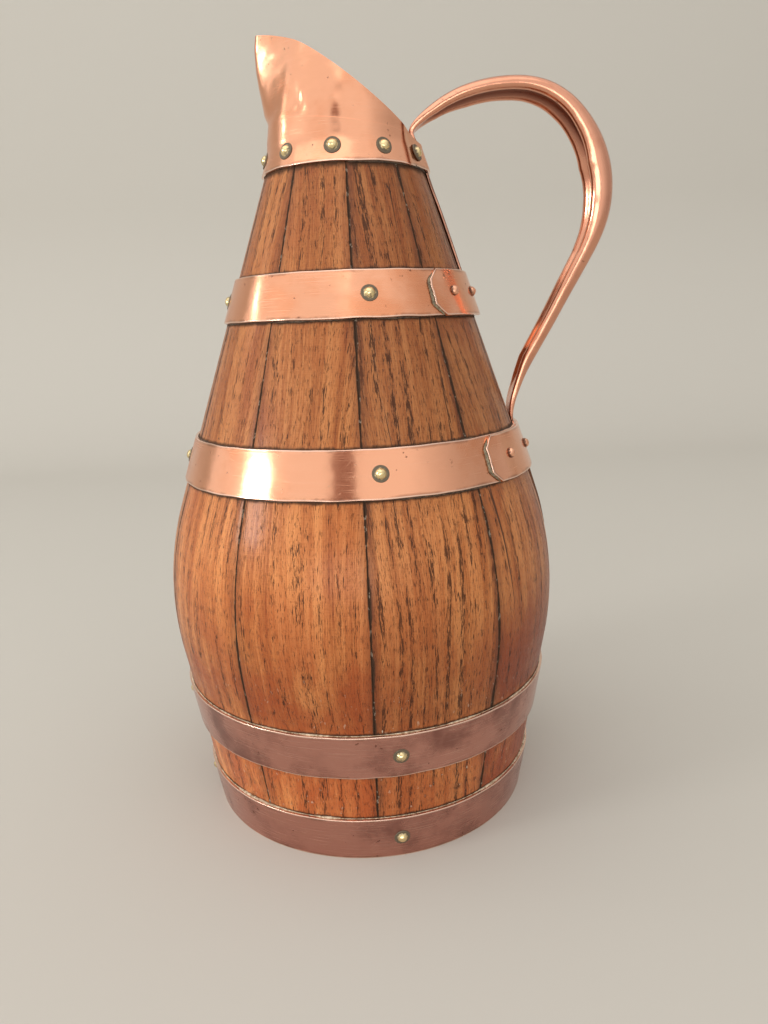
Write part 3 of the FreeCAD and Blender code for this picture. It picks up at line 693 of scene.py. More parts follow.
# edge marks: a painted highlight along the very edge, with a dark line of old polish behind it
edge_marks_tree, given, result = new_tree(
    "sheet_edge_highlight_and_polish", "ShaderNodeTree",
    [("Edge", "Float"), ("Body Place", "Vector")], [("Bright", "Float"), ("Dark", "Float")])
uneven = cloud(edge_marks_tree, given["Body Place"], (120, 120, 120), 3.0, 0.65)
reach = calc(edge_marks_tree, "MULTIPLY", uneven, 0.0009)
edge_marks_tree.links.new(fade(edge_marks_tree, given["Edge"], 0.00055, 0.00020), result["Bright"])
edge_marks_tree.links.new(calc(edge_marks_tree, "MULTIPLY", fade(
    edge_marks_tree, given["Edge"], calc(edge_marks_tree, "ADD", reach, 0.0007), reach), fade(
        edge_marks_tree, uneven, 0.42, 0.60)), result["Dark"])


def copper(name, clean, browned, dull, tarnish_share, scratch_share):
    """Sheet copper: clean colour, colour of its tarnish, roughness where it is clean."""
    material, tree, shader = new_material(name)
    place = node(tree, "ShaderNodeUVMap", uv_map="UVMap").outputs[0]
    body = node(tree, "ShaderNodeTexCoord").outputs["Object"]
    edge = node(tree, "ShaderNodeAttribute", attribute_name="edge").outputs["Fac"]
    polish = node(tree, "ShaderNodeGroup", {"Place": place, "Body Place": body}, node_tree=polish_tree)
    edge_marks = node(tree, "ShaderNodeGroup", {"Edge": edge, "Body Place": body}, node_tree=edge_marks_tree)
    tarnish = calc(tree, "MULTIPLY", polish.outputs["Tarnish"], tarnish_share)
    colour = blend(tree, tarnish, (*clean, 1), (*browned, 1))
    colour = blend(tree, calc(tree, "MULTIPLY", edge_marks.outputs["Dark"], 0.45), colour, BEHIND_EDGE)
    colour = blend(tree, calc(tree, "MULTIPLY", polish.outputs["Specks"], 0.7), colour, DARK_SPECK)
    colour = blend(tree, calc(tree, "MULTIPLY", polish.outputs["Scratches"], scratch_share), colour,
                   SCRATCH_GLINT)
    # painted highlight along the sheet's edges
    colour = blend(tree, calc(tree, "MULTIPLY", edge_marks.outputs["Bright"], 0.75), colour, EDGE_HIGHLIGHT)
    tree.links.new(colour, shader.inputs["Base Color"])
    shader.inputs["Metallic"].default_value = 1.0
    rough = calc(tree, "ADD", calc(tree, "MULTIPLY", tarnish, 0.16), dull)
    rough = calc(tree, "ADD", rough, calc(tree, "MULTIPLY", polish.outputs["Scratches"], 0.10))
    rough = calc(tree, "ADD", rough, calc(tree, "MULTIPLY", polish.outputs["Specks"], 0.3))
    tree.links.new(rough, shader.inputs["Roughness"])
    relief = calc(tree, "SUBTRACT", calc(tree, "MULTIPLY", polish.outputs["Ripple"], 1.0), calc(
        tree, "MULTIPLY", polish.outputs["Scratches"], 0.012))
    bump = node(tree, "ShaderNodeBump", {"Height": relief, "Strength": 0.35, "Distance": 0.0005})
    tree.links.new(bump.outputs[0], shader.inputs["Normal"])
    return material


bright_copper = copper("polished_copper", (0.93, 0.45, 0.27), (0.78, 0.29, 0.135), 0.16, 0.70, 0.08)
# a darker copy of the copper for the two lowest hoops: heavier tarnish, and painted shade standing in
# for a dark surface mirrored in them
tarnished_and_shaded_copper = copper("dark_copper", (0.56, 0.27, 0.21), (0.24, 0.10, 0.08), 0.20, 0.85, 0.22)


def tail_half_turn(radius):
    return math.asin(TAIL_HALF_WIDTH / radius) + TAIL_ROOM


def climb_turn(radius, climb):
    """Angle that a straight strip needs to climb off a circle."""
    return math.acos(radius / (radius + climb))


def hoop_strap(name, material):
    """One strap, from the clipped outer end of its lap, over the lap and once round."""
    low, high = (corner.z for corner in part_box(name + "_hoop"))
    middle = (low + high) / 2
    radius = wall_radius(middle)
    outer_end = math.radians(HOOP_LAPS[name])
    if name in ("neck", "shoulder"):
        half = tail_half_turn(wall_radius(high))
        inner_end, top = HANDLE_ANGLE - half, HANDLE_ANGLE + half
    else:
        inner_end = top = outer_end + PLAIN_LAP
    foot = top + climb_turn(radius, SHEET)
    length = (inner_end + math.tau - outer_end) * radius
    runs = [0.0, 0.3 * MM, 0.8 * MM, 1.5 * MM, 2.2 * MM, LAP_CLIP]
    runs += list(np.linspace(LAP_CLIP, length, int(length / COLUMN_STEP))[1:])
    seed = sum(map(ord, name)) % 17 + 0.5
    points = np.zeros((len(runs), HOOP_ROWS, 3))
    flat = np.zeros((len(runs), HOOP_ROWS, 2))
    edges = np.zeros((len(runs), HOOP_ROWS))
    for column, run in enumerate(runs):
        angle = outer_end + run / radius
        lift = SHEET * 1.03 * (1 - ease((angle - top) / (foot - top)))
        clip = max(LAP_CLIP - run, 0.0) * 0.95
        bottom = low + clip + 0.16 * MM * noise.noise(Vector((run * 160, seed, 0)))
        bottom = max(bottom, FLOOR_GAP)
        ceiling = high - clip + 0.16 * MM * noise.noise(Vector((run * 160, seed, 9)))
        for row in range(HOOP_ROWS):
            share = row / (HOOP_ROWS - 1)
            height = bottom + (ceiling - bottom) * share
            ragged = 0.35 * MM * noise.noise(Vector((height * 900, seed, 3))) * ease(1 - run / LAP_CLIP)
            spot = Vector((run * 75, height * 75, seed))
            wobble = 0.07 * MM * noise.noise(spot) + 0.03 * MM * noise.noise(spot * 2.7)
            out = wall_radius(height) + lift + wobble
            points[column, row] = round_point(angle + ragged / radius, out, height)
            flat[column, row] = (run, height)
            edges[column, row] = min(height - bottom, ceiling - height, run, length - run)
    mesh = sheet_mesh(name + "_hoop_sheet", points, flat, edges)
    strap = with_thickness("copper_%s_hoop" % name, mesh, material, SHEET, True, 0.22 * MM)
    return strap, outer_end, inner_end


# the foot and belly hoops take the darker copy, with its painted shade
hoop_copper = {"foot": tarnished_and_shaded_copper, "belly": tarnished_and_shaded_copper, "shoulder": bright_copper,
               "neck": bright_copper}
lap_ends = {}
for name, material in hoop_copper.items():
    strap, outer_end, inner_end = hoop_strap(name, material)
    lap_ends[name] = (outer_end, inner_end)
    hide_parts(name + "_hoop")
    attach(strap, "root")


# ---- Nails and rivets ------------------------------------------------------------------------
# Domed brass nails, four to a hoop and ten round the collar, driven square to the wood and dark
# round their rims; and pairs of small hammered copper rivets through each lap.

fastener_tree, given, result = new_tree(
    "fastener_row", "GeometryNodeTree",
    [("Count", "Int"), ("First Angle", "Float"), ("Step", "Float"), ("Radius", "Float"),
     ("Height", "Float"), ("Tilt", "Float"), ("Head Radius", "Float"), ("Dome", "Float"),
     ("Flange", "Float"), ("Hammering", "Float"), ("Seed", "Float"), ("Material", "Material")],
    [("Geometry", "Geometry")])
cone = node(fastener_tree, "GeometryNodeMeshCone",
            {"Vertices": 28, "Side Segments": 14, "Radius Top": 0.0, "Radius Bottom": 1.0, "Depth": 1.0})
spot = node(fastener_tree, "ShaderNodeSeparateXYZ",
            {0: node(fastener_tree, "GeometryNodeInputPosition").outputs[0]}).outputs
squared = calc(fastener_tree, "ADD", calc(fastener_tree, "MULTIPLY", spot[0], spot[0]),
               calc(fastener_tree, "MULTIPLY", spot[1], spot[1]))
outness = calc(fastener_tree, "SQRT", squared)
dome_share = calc(fastener_tree, "MAXIMUM", calc(fastener_tree, "SUBTRACT", 1.0, calc(
    fastener_tree, "POWER", calc(fastener_tree, "DIVIDE", outness, given["Flange"]), 2.0)), 0.0)
crown = calc(fastener_tree, "POWER", dome_share, 0.62)
brim = calc(fastener_tree, "SUBTRACT", 0.16, calc(fastener_tree, "MULTIPLY", calc(
    fastener_tree, "GREATER_THAN", outness, 0.97), 0.34))
rise = calc(fastener_tree, "MULTIPLY", calc(fastener_tree, "ADD", brim, calc(
    fastener_tree, "MULTIPLY", crown, 0.84)), given["Dome"])
domed = node(fastener_tree, "GeometryNodeSetPosition", {
    "Geometry": store(fastener_tree, cone.outputs["Mesh"], "rim", "FLOAT", "POINT", outness),
    "Position": node(fastener_tree, "ShaderNodeCombineXYZ", {
        0: calc(fastener_tree, "MULTIPLY", spot[0], given["Head Radius"]),
        1: calc(fastener_tree, "MULTIPLY", spot[1], given["Head Radius"]), 2: rise}).outputs[0]})
row = node(fastener_tree, "GeometryNodeMeshLine", {"Count": given["Count"]})
index = node(fastener_tree, "GeometryNodeInputIndex").outputs[0]
around = calc(fastener_tree, "ADD", given["First Angle"],
              calc(fastener_tree, "MULTIPLY", index, given["Step"]))
seats = node(fastener_tree, "GeometryNodeSetPosition", {
    "Geometry": row.outputs[0],
    "Position": on_the_wall(fastener_tree, around, given["Radius"], given["Height"])})
outward = on_the_wall(fastener_tree, around, calc(fastener_tree, "COSINE", given["Tilt"]),
                      calc(fastener_tree, "SINE", given["Tilt"]))
turned = node(fastener_tree, "FunctionNodeAlignRotationToVector", {"Vector": outward}, axis="Z")
placed = node(fastener_tree, "GeometryNodeInstanceOnPoints", {
    "Points": seats.outputs[0], "Instance": domed.outputs[0], "Rotation": turned.outputs[0]})
realized = node(fastener_tree, "GeometryNodeRealizeInstances", {"Geometry": placed.outputs[0]})
blow_path = node(fastener_tree, "ShaderNodeVectorMath", {
    0: node(fastener_tree, "GeometryNodeInputPosition").outputs[0], 1: (900, 900, 900)},
    operation="MULTIPLY")
blow_path = node(fastener_tree, "ShaderNodeVectorMath", {0: blow_path.outputs[0], 1: given["Seed"]},
                 operation="ADD")
blows = node(fastener_tree, "ShaderNodeTexNoise",
             {"Vector": blow_path.outputs[0], "Scale": 1.0, "Detail": 1.0}).outputs[0]
push = node(fastener_tree, "ShaderNodeVectorMath", {
    0: node(fastener_tree, "GeometryNodeInputNormal").outputs[0],
    "Scale": calc(fastener_tree, "MULTIPLY", calc(fastener_tree, "SUBTRACT", blows, 0.5),
                  given["Hammering"])}, operation="SCALE")
hammered = node(fastener_tree, "GeometryNodeSetPosition",
                {"Geometry": realized.outputs[0], "Offset": push.outputs[0]})
smooth = node(fastener_tree, "GeometryNodeSetShadeSmooth", {"Geometry": hammered.outputs[0]})
coloured = node(fastener_tree, "GeometryNodeSetMaterial",
                {"Geometry": smooth.outputs[0], "Material": given["Material"]})
fastener_tree.links.new(coloured.outputs[0], result["Geometry"])


def fastener_metal(name, clean, rim_colour, rim_start, dull):
    """Metal that is polished on the crown and dark round the rim of each head."""
    material, tree, shader = new_material(name)
    body = node(tree, "ShaderNodeTexCoord").outputs["Object"]
    rim = node(tree, "ShaderNodeAttribute", attribute_name="rim").outputs["Fac"]
    grit = cloud(tree, body, (1400, 1400, 1400), 3.0, 0.6)
    stain = cloud(tree, body, (480, 480, 480), 2.0)
    dark = fade(tree, calc(tree, "ADD", rim, calc(tree, "MULTIPLY", calc(
        tree, "SUBTRACT", grit, 0.5), 0.5)), rim_start, rim_start + 0.18)
    dark = calc(tree, "MAXIMUM", dark, calc(tree, "MULTIPLY", fade(tree, stain, 0.60, 0.70), 0.7))
    colour = blend(tree, dark, (*clean, 1), (*rim_colour, 1))
    tree.links.new(colour, shader.inputs["Base Color"])
    tree.links.new(calc(tree, "SUBTRACT", 1.0, calc(tree, "MULTIPLY", dark, 0.7)),
                   shader.inputs["Metallic"])
    tree.links.new(calc(tree, "ADD", calc(tree, "MULTIPLY", dark, 0.42), dull),
                   shader.inputs["Roughness"])
    bump = node(tree, "ShaderNodeBump", {"Height": grit, "Strength": 0.4, "Distance": 0.00015})
    tree.links.new(bump.outputs[0], shader.inputs["Normal"])
    return material


brass = fastener_metal("nail_brass", (0.86, 0.68, 0.36), (0.15, 0.115, 0.075), 0.50, 0.16)
rivet_copper = fastener_metal("rivet_copper", (0.90, 0.46, 0.29), (0.12, 0.06, 0.04), 0.80, 0.16)

NAIL_STARTS = {"foot": 8.6, "belly": 8.2, "shoulder": 6.3, "neck": 8.0}
NAILS_PER_HOOP = 4
NAIL_HEAD = 2.62 * MM
NAIL_DOME = 1.45 * MM
NAIL_FLANGE = 0.62
NAIL_HAMMERING = 0.00022
RIVET_HEAD = 1.65 * MM
RIVET_DOME = 1.45 * MM
RIVET_SHARES = (0.30, 0.78)
COLLAR_NAILS = 10
COLLAR_NAIL_START = math.radians(-7.4)
COLLAR_NAIL_HEIGHT = 213.4 * MM
COLLAR_SHEET = 0.9 * MM


def fastener_row(name, node_name, material, count, first, step, height, lift, head, dome,
                 flange, hammering):
    """A row of heads at one height, each square to the straight wall it is driven into."""
    tilt = NECK_TAPER if height > CENTRE_HEIGHT else -FOOT_FLARE
    row = shaped_by(fastener_tree, name, {
        "Count": count, "First Angle": first, "Step": step,
        "Radius": wall_radius(height) + lift * math.cos(tilt),
        "Height": height + lift * math.sin(tilt), "Tilt": tilt, "Head Radius": head,
        "Dome": dome, "Flange": flange, "Hammering": hammering, "Seed": 11.0 * height / MM,
        "Material": material,
    })
    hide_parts(node_name)
    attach(row, "root")


for name in HOOP_LAPS:
    low, high = (corner.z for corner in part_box(name + "_hoop"))
    middle = (low + high) / 2
    fastener_row("brass_%s_nails" % name, name + "_hoop_nails", brass,
                 NAILS_PER_HOOP, math.radians(NAIL_STARTS[name]), math.tau / NAILS_PER_HOOP,
                 middle, SHEET, NAIL_HEAD, NAIL_DOME, NAIL_FLANGE, NAIL_HAMMERING)
    outer_end, inner_end = lap_ends[name]
    lap = inner_end - outer_end
    fastener_row("copper_%s_rivets" % name, name + "_hoop_rivets", rivet_copper,
                 len(RIVET_SHARES), outer_end + RIVET_SHARES[0] * lap,
                 (RIVET_SHARES[1] - RIVET_SHARES[0]) * lap, middle, 2 * SHEET,
                 RIVET_HEAD, RIVET_DOME, 0.95, 0.00035)
fastener_row("brass_collar_nails", "collar_nails", brass, COLLAR_NAILS,
             COLLAR_NAIL_START, math.tau / COLLAR_NAILS, COLLAR_NAIL_HEIGHT, COLLAR_SHEET,
             NAIL_HEAD, NAIL_DOME, NAIL_FLANGE, NAIL_HAMMERING)


# ---- Collar band -----------------------------------------------------------------------------
# A ring of sheet copper nailed round the top of the staves. It runs up along the wood, then a
# little less steeply inwards to the lip, and is drawn tight over the upper tail of the handle.

COLLAR_LEAN = math.radians(7.8)
COLLAR_COLUMNS = 180
BAND_ROWS = 10
SEAM_HEIGHT = 221.2 * MM
SEAM_SLOPE = math.radians(6.5)
TAIL_SHEET = 1.0 * MM
FACET_START = math.radians(48)
CREASE_TURN = math.radians(10)
WOOD_TOP_RADIUS = wall_radius(STAVE_TOP)


def seam_height(angle, radius):
    """Height of the seam between band and lip, which falls towards the handle."""
    return SEAM_HEIGHT - radius * math.sin(angle) * math.tan(SEAM_SLOPE)


RIM_TIP = Vector((-26.5, 250.2)) * MM
RIM_CROWN = Vector((-18.0, 247.3)) * MM
RIM_BEND = Vector((-10.0, 242.3)) * MM
RIM_BACK = Vector((26.0, 215.2)) * MM


def rim_height(x):
    """Height of the pouring edge: a curve from the tip, then a straight fall to the back."""
    if x > RIM_BEND.x:
        share = (x - RIM_BEND.x) / (RIM_BACK.x - RIM_BEND.x)
        return RIM_BEND.y + (RIM_BACK.y - RIM_BEND.y) * share
    share_tip = (x - RIM_CROWN.x) * (x - RIM_BEND.x) / (
        (RIM_TIP.x - RIM_CROWN.x) * (RIM_TIP.x - RIM_BEND.x))
    share_crown = (x - RIM_TIP.x) * (x - RIM_BEND.x) / (
        (RIM_CROWN.x - RIM_TIP.x) * (RIM_CROWN.x - RIM_BEND.x))
    share_bend = 1 - share_tip - share_crown
    return share_tip * RIM_TIP.y + share_crown * RIM_CROWN.y + share_bend * RIM_BEND.y


def over_tail(angle):
    """How far the collar stands off where it is drawn over the handle's tail."""
    off = abs(angle - HANDLE_ANGLE)
    plateau = tail_half_turn(WOOD_TOP_RADIUS)
    reach = HANDLE_ANGLE - FACET_START
    if off <= plateau:
        return TAIL_SHEET
    if off >= reach:
        return 0.0
    # the flat facet: a straight line in plan between the crease and the edge of the tail
    start = WOOD_TOP_RADIUS
    end = WOOD_TOP_RADIUS + TAIL_SHEET
    span = reach - plateau
    turn = reach - off
    straight = start * end * math.sin(span) / (
        end * math.sin(span - turn) + start * math.sin(turn))
    return max(straight - start, -0.45 * MM) * ease(turn / CREASE_TURN)


def collar_wall(angle, height):
    """Outer radius of the collar band."""
    if height < STAVE_TOP:
        inner = wall_radius(height)
    else:
        inner = WOOD_TOP_RADIUS - (height - STAVE_TOP) * math.tan(COLLAR_LEAN)
    spot = Vector((math.sin(angle) * 2.6, math.cos(angle) * 2.6, height * 110))
    wobble = 0.07 * MM * noise.noise(spot) + 0.04 * MM * noise.noise(spot * 2.3)
    fuller = 0.45 * MM * max(-math.sin(angle), 0.0) ** 2 * ease((height - 213 * MM) / (7 * MM))
    return inner + COLLAR_SHEET + over_tail(angle) + wobble + fuller


def collar_grid(columns, rows, bottom_of, top_of, radius_of):
    """Points round the collar between two heights, with their flat map and the distance of
    each point from the bottom edge, where the painted edge highlight and the line of old polish are
    drawn."""
    points = np.zeros((columns, rows, 3))
    flat = np.zeros((columns + 1, rows, 2))
    edges = np.zeros((columns, rows))
    for column in range(columns + 1):
        angle = math.tau * column / columns
        bottom, top = bottom_of(angle), top_of(angle)
        for row in range(rows):
            height = bottom + (top - bottom) * row / (rows - 1)
            radius = radius_of(angle, height)
            flat[column, row] = (angle * WOOD_TOP_RADIUS, height)
            if column < columns:
                points[column, row] = round_point(angle, radius, height)
                edges[column, row] = height - bottom
    return points, flat, edges


def band_bottom(angle):
    return NECK_HEIGHT + 0.22 * MM * noise.noise(Vector((math.sin(angle) * 4, math.cos(angle) * 4, 1)))


def band_top(angle):
    radius = WOOD_TOP_RADIUS + COLLAR_SHEET
    return min(seam_height(angle, radius), rim_height(radius * math.sin(angle)))


points, flat, edges = collar_grid(COLLAR_COLUMNS, BAND_ROWS, band_bottom, band_top, collar_wall)
band_mesh = sheet_mesh("collar_band_sheet", points, flat, edges, closed=True)
band = with_thickness("copper_collar_band", band_mesh, bright_copper, COLLAR_SHEET, False, 0.15 * MM)
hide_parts("collar_band")
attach(band, "root")


# ---- Pouring lip -----------------------------------------------------------------------------
# A second sheet tucked into the band and beaten out to a rounded spout. Its rim curves over from
# the tip and then falls straight to the handle. A teardrop dent lies low on its side.

LIP_COLUMNS = 240
LIP_ROWS = 26
LIP_HEIGHTS = (216.0, 224.0, 231.5, 252.0)
LIP_ROUND = (24.05, 23.05, 21.9, 17.5)
LIP_TIP = (24.15, 24.0, 24.9, 25.0)
LIP_NOSE = (18.0, 14.0, 8.5, 3.4)
DENT_ANGLE = math.radians(-35)
DENT_HEIGHT = 227.3 * MM
DENT_DEPTH = 0.55 * MM
LIP_COVER = 5 * MM            # the lip's lower edge is hidden, so no painted edge highlight or old polish shows on it
LIP_TUCK = 0.7 * MM           # how far the lip reaches down inside the band


def through(values):
    """Smooth curve through the four levels of the lip."""
    return np.polyfit(LIP_HEIGHTS, values, len(LIP_HEIGHTS) - 1)


lip_round, lip_tip, lip_nose = through(LIP_ROUND), through(LIP_TIP), through(LIP_NOSE)


def lip_wall(angle, height):
    """Outer radius of the lip: a circle drawn out by straight flanks to a rounded nose."""
    level = height / MM
    circle = np.polyval(lip_round, level)
    tip = np.polyval(lip_tip, level)
    nose = np.polyval(lip_nose, level)
    reach = max(tip - nose, 0.01)
    turn = math.acos(min(max((circle - nose) / reach, -1), 1))
    off = abs((angle - 1.5 * math.pi + math.pi) % math.tau - math.pi)
    nose_end = math.atan2(nose * math.sin(turn), reach + nose * math.cos(turn))
    if off >= turn:
        radius = circle
    elif off > nose_end:
        radius = circle / math.cos(off - turn)
    else:
        radius = reach * math.cos(off) + math.sqrt(nose ** 2 - (reach * math.sin(off)) ** 2)
    radius *= MM
    spot = Vector((math.sin(angle) * 2.6, math.cos(angle) * 2.6, height * 110))
    fading = ease((height - SEAM_HEIGHT) / (6 * MM))
    wobble = 0.07 * MM * noise.noise(spot) + 0.05 * MM * noise.noise(spot * 2.3) * (1 + fading)
    side = ((angle - DENT_ANGLE + math.pi) % math.tau - math.pi) * radius
    rise = height - DENT_HEIGHT
    wide = (1.7 if rise < 0 else 1.7 - 0.13 * rise / MM) * MM
    dent = 0.0
    if wide > 0.2 * MM:
        dent = DENT_DEPTH * math.exp(-(side / wide) ** 2 - (rise / (3.2 * MM)) ** 2)
    swell = 0.22 * MM * math.exp(-((side - 3.6 * MM) / (2.2 * MM)) ** 2 - (rise / (7 * MM)) ** 2)
    return radius + wobble - dent + swell


def lip_bottom(angle):
    radius = WOOD_TOP_RADIUS + COLLAR_SHEET
    return min(seam_height(angle, radius), rim_height(radius * math.sin(angle))) - LIP_TUCK


def lip_top(angle):
    """The rim's height where the lip's wall meets it, found by stepping towards it."""
    height = rim_height(WOOD_TOP_RADIUS * math.sin(angle))
    for _ in range(30):
        height += 0.5 * (rim_height(lip_wall(angle, height) * math.sin(angle)) - height)
    return max(height, lip_bottom(angle) + 0.25 * MM)


def lip_radius(angle, height):
    """The lip starts just inside the band and comes flush with it above the seam."""
    outside = lip_wall(angle, height)
    start = lip_bottom(angle) + LIP_TUCK
    tucked = collar_wall(angle, height) - 0.05 * MM
    share = ease((height - start) / (3.5 * MM))
    return tucked + (outside - tucked) * share


points, flat, edges = collar_grid(LIP_COLUMNS, LIP_ROWS, lip_bottom, lip_top, lip_radius)
edges += LIP_COVER
lip_mesh = sheet_mesh("pouring_lip_sheet", points, flat, edges, closed=True)
lip = with_thickness("copper_pouring_lip", lip_mesh, bright_copper, COLLAR_SHEET * 0.9, False,
                     0.2 * MM)
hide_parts("pouring_lip")
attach(lip, "root")


# ---- Handle ----------------------------------------------------------------------------------
# Sheet copper rolled to a tapering tube with a rounded back and a hollow face between two rolled
# edges. Both ends are beaten flat: one tail goes under collar and neck hoop, one under the
# shoulder hoop and down the belly.

SPINE = [
    (20.7, 221.2), (23.4, 225.6), (31.8, 231.6), (50.0, 236.4), (66.0, 234.3), (79.0, 224.0),
    (86.0, 209.0), (85.2, 193.0), (76.6, 175.6), (66.3, 157.6), (57.2, 141.6),
    (54.4, 134.6), (53.9, 129.6),
]
UPPER_TAIL = (166.0, 182.0, 198.0, 210.0, 216.5)
LOWER_TAIL = (121.0, 110.0, 100.0, 92.0)
HANDLE_SIZES = [              # share of the spine, width, thickness
    (0.00, 7.8, 1.6), (0.06, 9.0, 3.6), (0.13, 10.6, 4.6), (0.25, 11.4, 5.0),
    (0.36, 12.0, 6.4), (0.47, 12.6, 8.4), (0.56, 12.0, 7.6), (0.66, 10.4, 5.6),
    (0.78, 9.4, 4.8), (0.88, 9.0, 4.4), (0.94, 8.4, 2.4), (1.00, 8.0, 1.0),
]
ROLLED_HALF = [               # half section of the rolled tube: across, down from the back
    (0.0, 0.0), (0.42, 0.05), (0.78, 0.22), (0.96, 0.46), (1.0, 0.68), (0.93, 0.88),
    (0.76, 1.0), (0.56, 0.97), (0.42, 0.83), (0.24, 0.68), (0.0, 0.62),
]
FLAT_HALF = [
    (0.0, 0.0), (0.3, 0.0), (0.7, 0.0), (0.93, 0.05), (1.0, 0.35), (1.0, 0.7),
    (0.95, 0.95), (0.8, 1.0), (0.55, 1.0), (0.28, 1.0), (0.0, 1.0),
]
SECTION_POINTS = 44
HANDLE_STEPS = 260
ROLL_TURN = math.radians(9)   # the upper run was bent a little out of true
ROLL_SHARES = (0.03, 0.12, 0.34, 0.50)


def smooth_line(points, count, closed=False):
    """Even points on a natural cubic curve through the given ones, by distance along it."""
    knots = np.array(points, float)
    if closed:
        knots = np.vstack([knots[-4:], knots, knots[:5]])
    steps = np.linalg.norm(np.diff(knots, axis=0), axis=1)
    where = np.concatenate([[0], np.cumsum(steps)])
    size = len(knots)
    bands = np.zeros((size, size))
    right = np.zeros_like(knots)
    bands[0, 0] = bands[-1, -1] = 1
    for i in range(1, size - 1):
        bands[i, i - 1], bands[i, i + 1] = steps[i - 1], steps[i]
        bands[i, i] = 2 * (steps[i - 1] + steps[i])
        right[i] = 6 * ((knots[i + 1] - knots[i]) / steps[i] - (knots[i] - knots[i - 1]) / steps[i - 1])
    bend = np.linalg.solve(bands, right)
    start, end = (where[4], where[-5]) if closed else (0, where[-1])
    made = []
    for run in np.linspace(start, end, count + 1 if closed else count)[:count]:
        i = min(max(np.searchsorted(where, run, side="right") - 1, 0), size - 2)
        ahead, back, step = where[i + 1] - run, run - where[i], steps[i]
        made.append(
            bend[i] * ahead ** 3 / (6 * step) + bend[i + 1] * back ** 3 / (6 * step)
            + (knots[i] / step - bend[i] * step / 6) * ahead
            + (knots[i + 1] / step - bend[i + 1] * step / 6) * back)
    return np.array(made)


def tube_faces(steps, around):
    """Faces of a closed tube of rings, and of its two ends."""
    quads = []
    for step in range(steps - 1):
        for spot in range(around):
            beside = (spot + 1) % around
            quads.append((step * around + spot, step * around + beside,
                          (step + 1) * around + beside, (step + 1) * around + spot))
    return quads + [tuple(reversed(range(around))), tuple(range((steps - 1) * around, steps * around))]


def ring_of(half):
    """Whole section from its half, evenly spaced and smooth."""
    other = [(-across, down) for across, down in reversed(half[1:-1])]
    return smooth_line(half + other, SECTION_POINTS, closed=True)


rolled_ring, flat_ring = ring_of(ROLLED_HALF), ring_of(FLAT_HALF)
upper_tail = [(wall_radius(h * MM) / MM, h) for h in UPPER_TAIL]
lower_tail = [((wall_radius(h * MM) + TAIL_SHEET) / MM, h) for h in LOWER_TAIL]
handle_line = smooth_line(upper_tail + SPINE + lower_tail, HANDLE_STEPS) * MM
spine_start = int(np.argmin(np.linalg.norm(handle_line - np.array(SPINE[0]) * MM, axis=1)))
spine_end = int(np.argmin(np.linalg.norm(handle_line - np.array(SPINE[-1]) * MM, axis=1)))
steps = np.linalg.norm(np.diff(handle_line, axis=0), axis=1)
runs = np.concatenate([[0], np.cumsum(steps)])
shares = (runs - runs[spine_start]) / (runs[spine_end] - runs[spine_start])
first, last = float(shares[0]), float(shares[-1])
size_shares, widths, thicknesses = zip(
    (first - 0.01, 8.0, 1.0), (-0.03, 8.0, 1.0), *HANDLE_SIZES,
    (0.6 + 0.4 * last, 8.0, 1.0), (last, 3.0, 0.8))

points = np.zeros((HANDLE_STEPS, SECTION_POINTS, 3))
hollow = np.zeros((HANDLE_STEPS, SECTION_POINTS))
beaten = np.zeros((HANDLE_STEPS, SECTION_POINTS))
flat = np.zeros((HANDLE_STEPS, SECTION_POINTS + 1, 2))
for step, (x, z) in enumerate(handle_line):
    ahead = handle_line[min(step + 1, HANDLE_STEPS - 1)] - handle_line[max(step - 1, 0)]
    ahead /= np.linalg.norm(ahead)
    inward = np.array((ahead[1], -ahead[0]))
    share = shares[step]
    width = np.interp(share, size_shares, widths) * MM
    thick = np.interp(share, size_shares, thicknesses) * MM
    rolled = ease((thick / MM - 1.4) / 2.6)
    ring = flat_ring + (rolled_ring - flat_ring) * rolled
    roll = ROLL_TURN * np.interp(share, ROLL_SHARES, (0, 1, 1, 0))
    beaten[step] = ease((1.25 - thick / MM) / 0.2)
    for spot, (across, down) in enumerate(ring):
        bruise = noise.noise(Vector((runs[step] * 130, across * 1.3, down * 1.3)))
        bruise += 0.6 * noise.noise(Vector((runs[step] * 340, across * 2.2, down * 2.2)))
        depth = thick * down + 0.05 * MM * bruise * rolled
        side = across * width / 2 * (1 + 0.012 * bruise)
        depth, side = (depth * math.cos(roll) + side * math.sin(roll),
                       side * math.cos(roll) - depth * math.sin(roll))
        points[step, spot] = (x + inward[0] * depth, side, z + inward[1] * depth)
        # where the hollow face lies; the material darkens it there as painted shade
        hollow_shade = ease((0.62 - abs(across)) / 0.25) * ease((down - 0.45) / 0.2)
        hollow[step, spot] = hollow_shade * rolled
        flat[step, spot] = (runs[step], spot / SECTION_POINTS * 2 * (width + thick))
    flat[step, SECTION_POINTS] = (runs[step], 2 * (width + thick))

corners = []
for step in range(HANDLE_STEPS - 1):
    for spot in range(SECTION_POINTS):
        corners += [flat[step, spot], flat[step, spot + 1], flat[step + 1, spot + 1],
                    flat[step + 1, spot]]
corners += [(0.0, 0.0)] * (2 * SECTION_POINTS)
handle_mesh = bpy.data.meshes.new("copper_handle")
handle_mesh.from_pydata(points.reshape(-1, 3).tolist(), [], tube_faces(HANDLE_STEPS, SECTION_POINTS))
handle_mesh.uv_layers.new(name="UVMap").uv.foreach_set("vector", np.array(corners).ravel())
handle_mesh.attributes.new("hollow", "FLOAT", "POINT").data.foreach_set("value", hollow.ravel())
handle_mesh.attributes.new("beaten", "FLOAT", "POINT").data.foreach_set("value", beaten.ravel())
handle_mesh.shade_smooth()

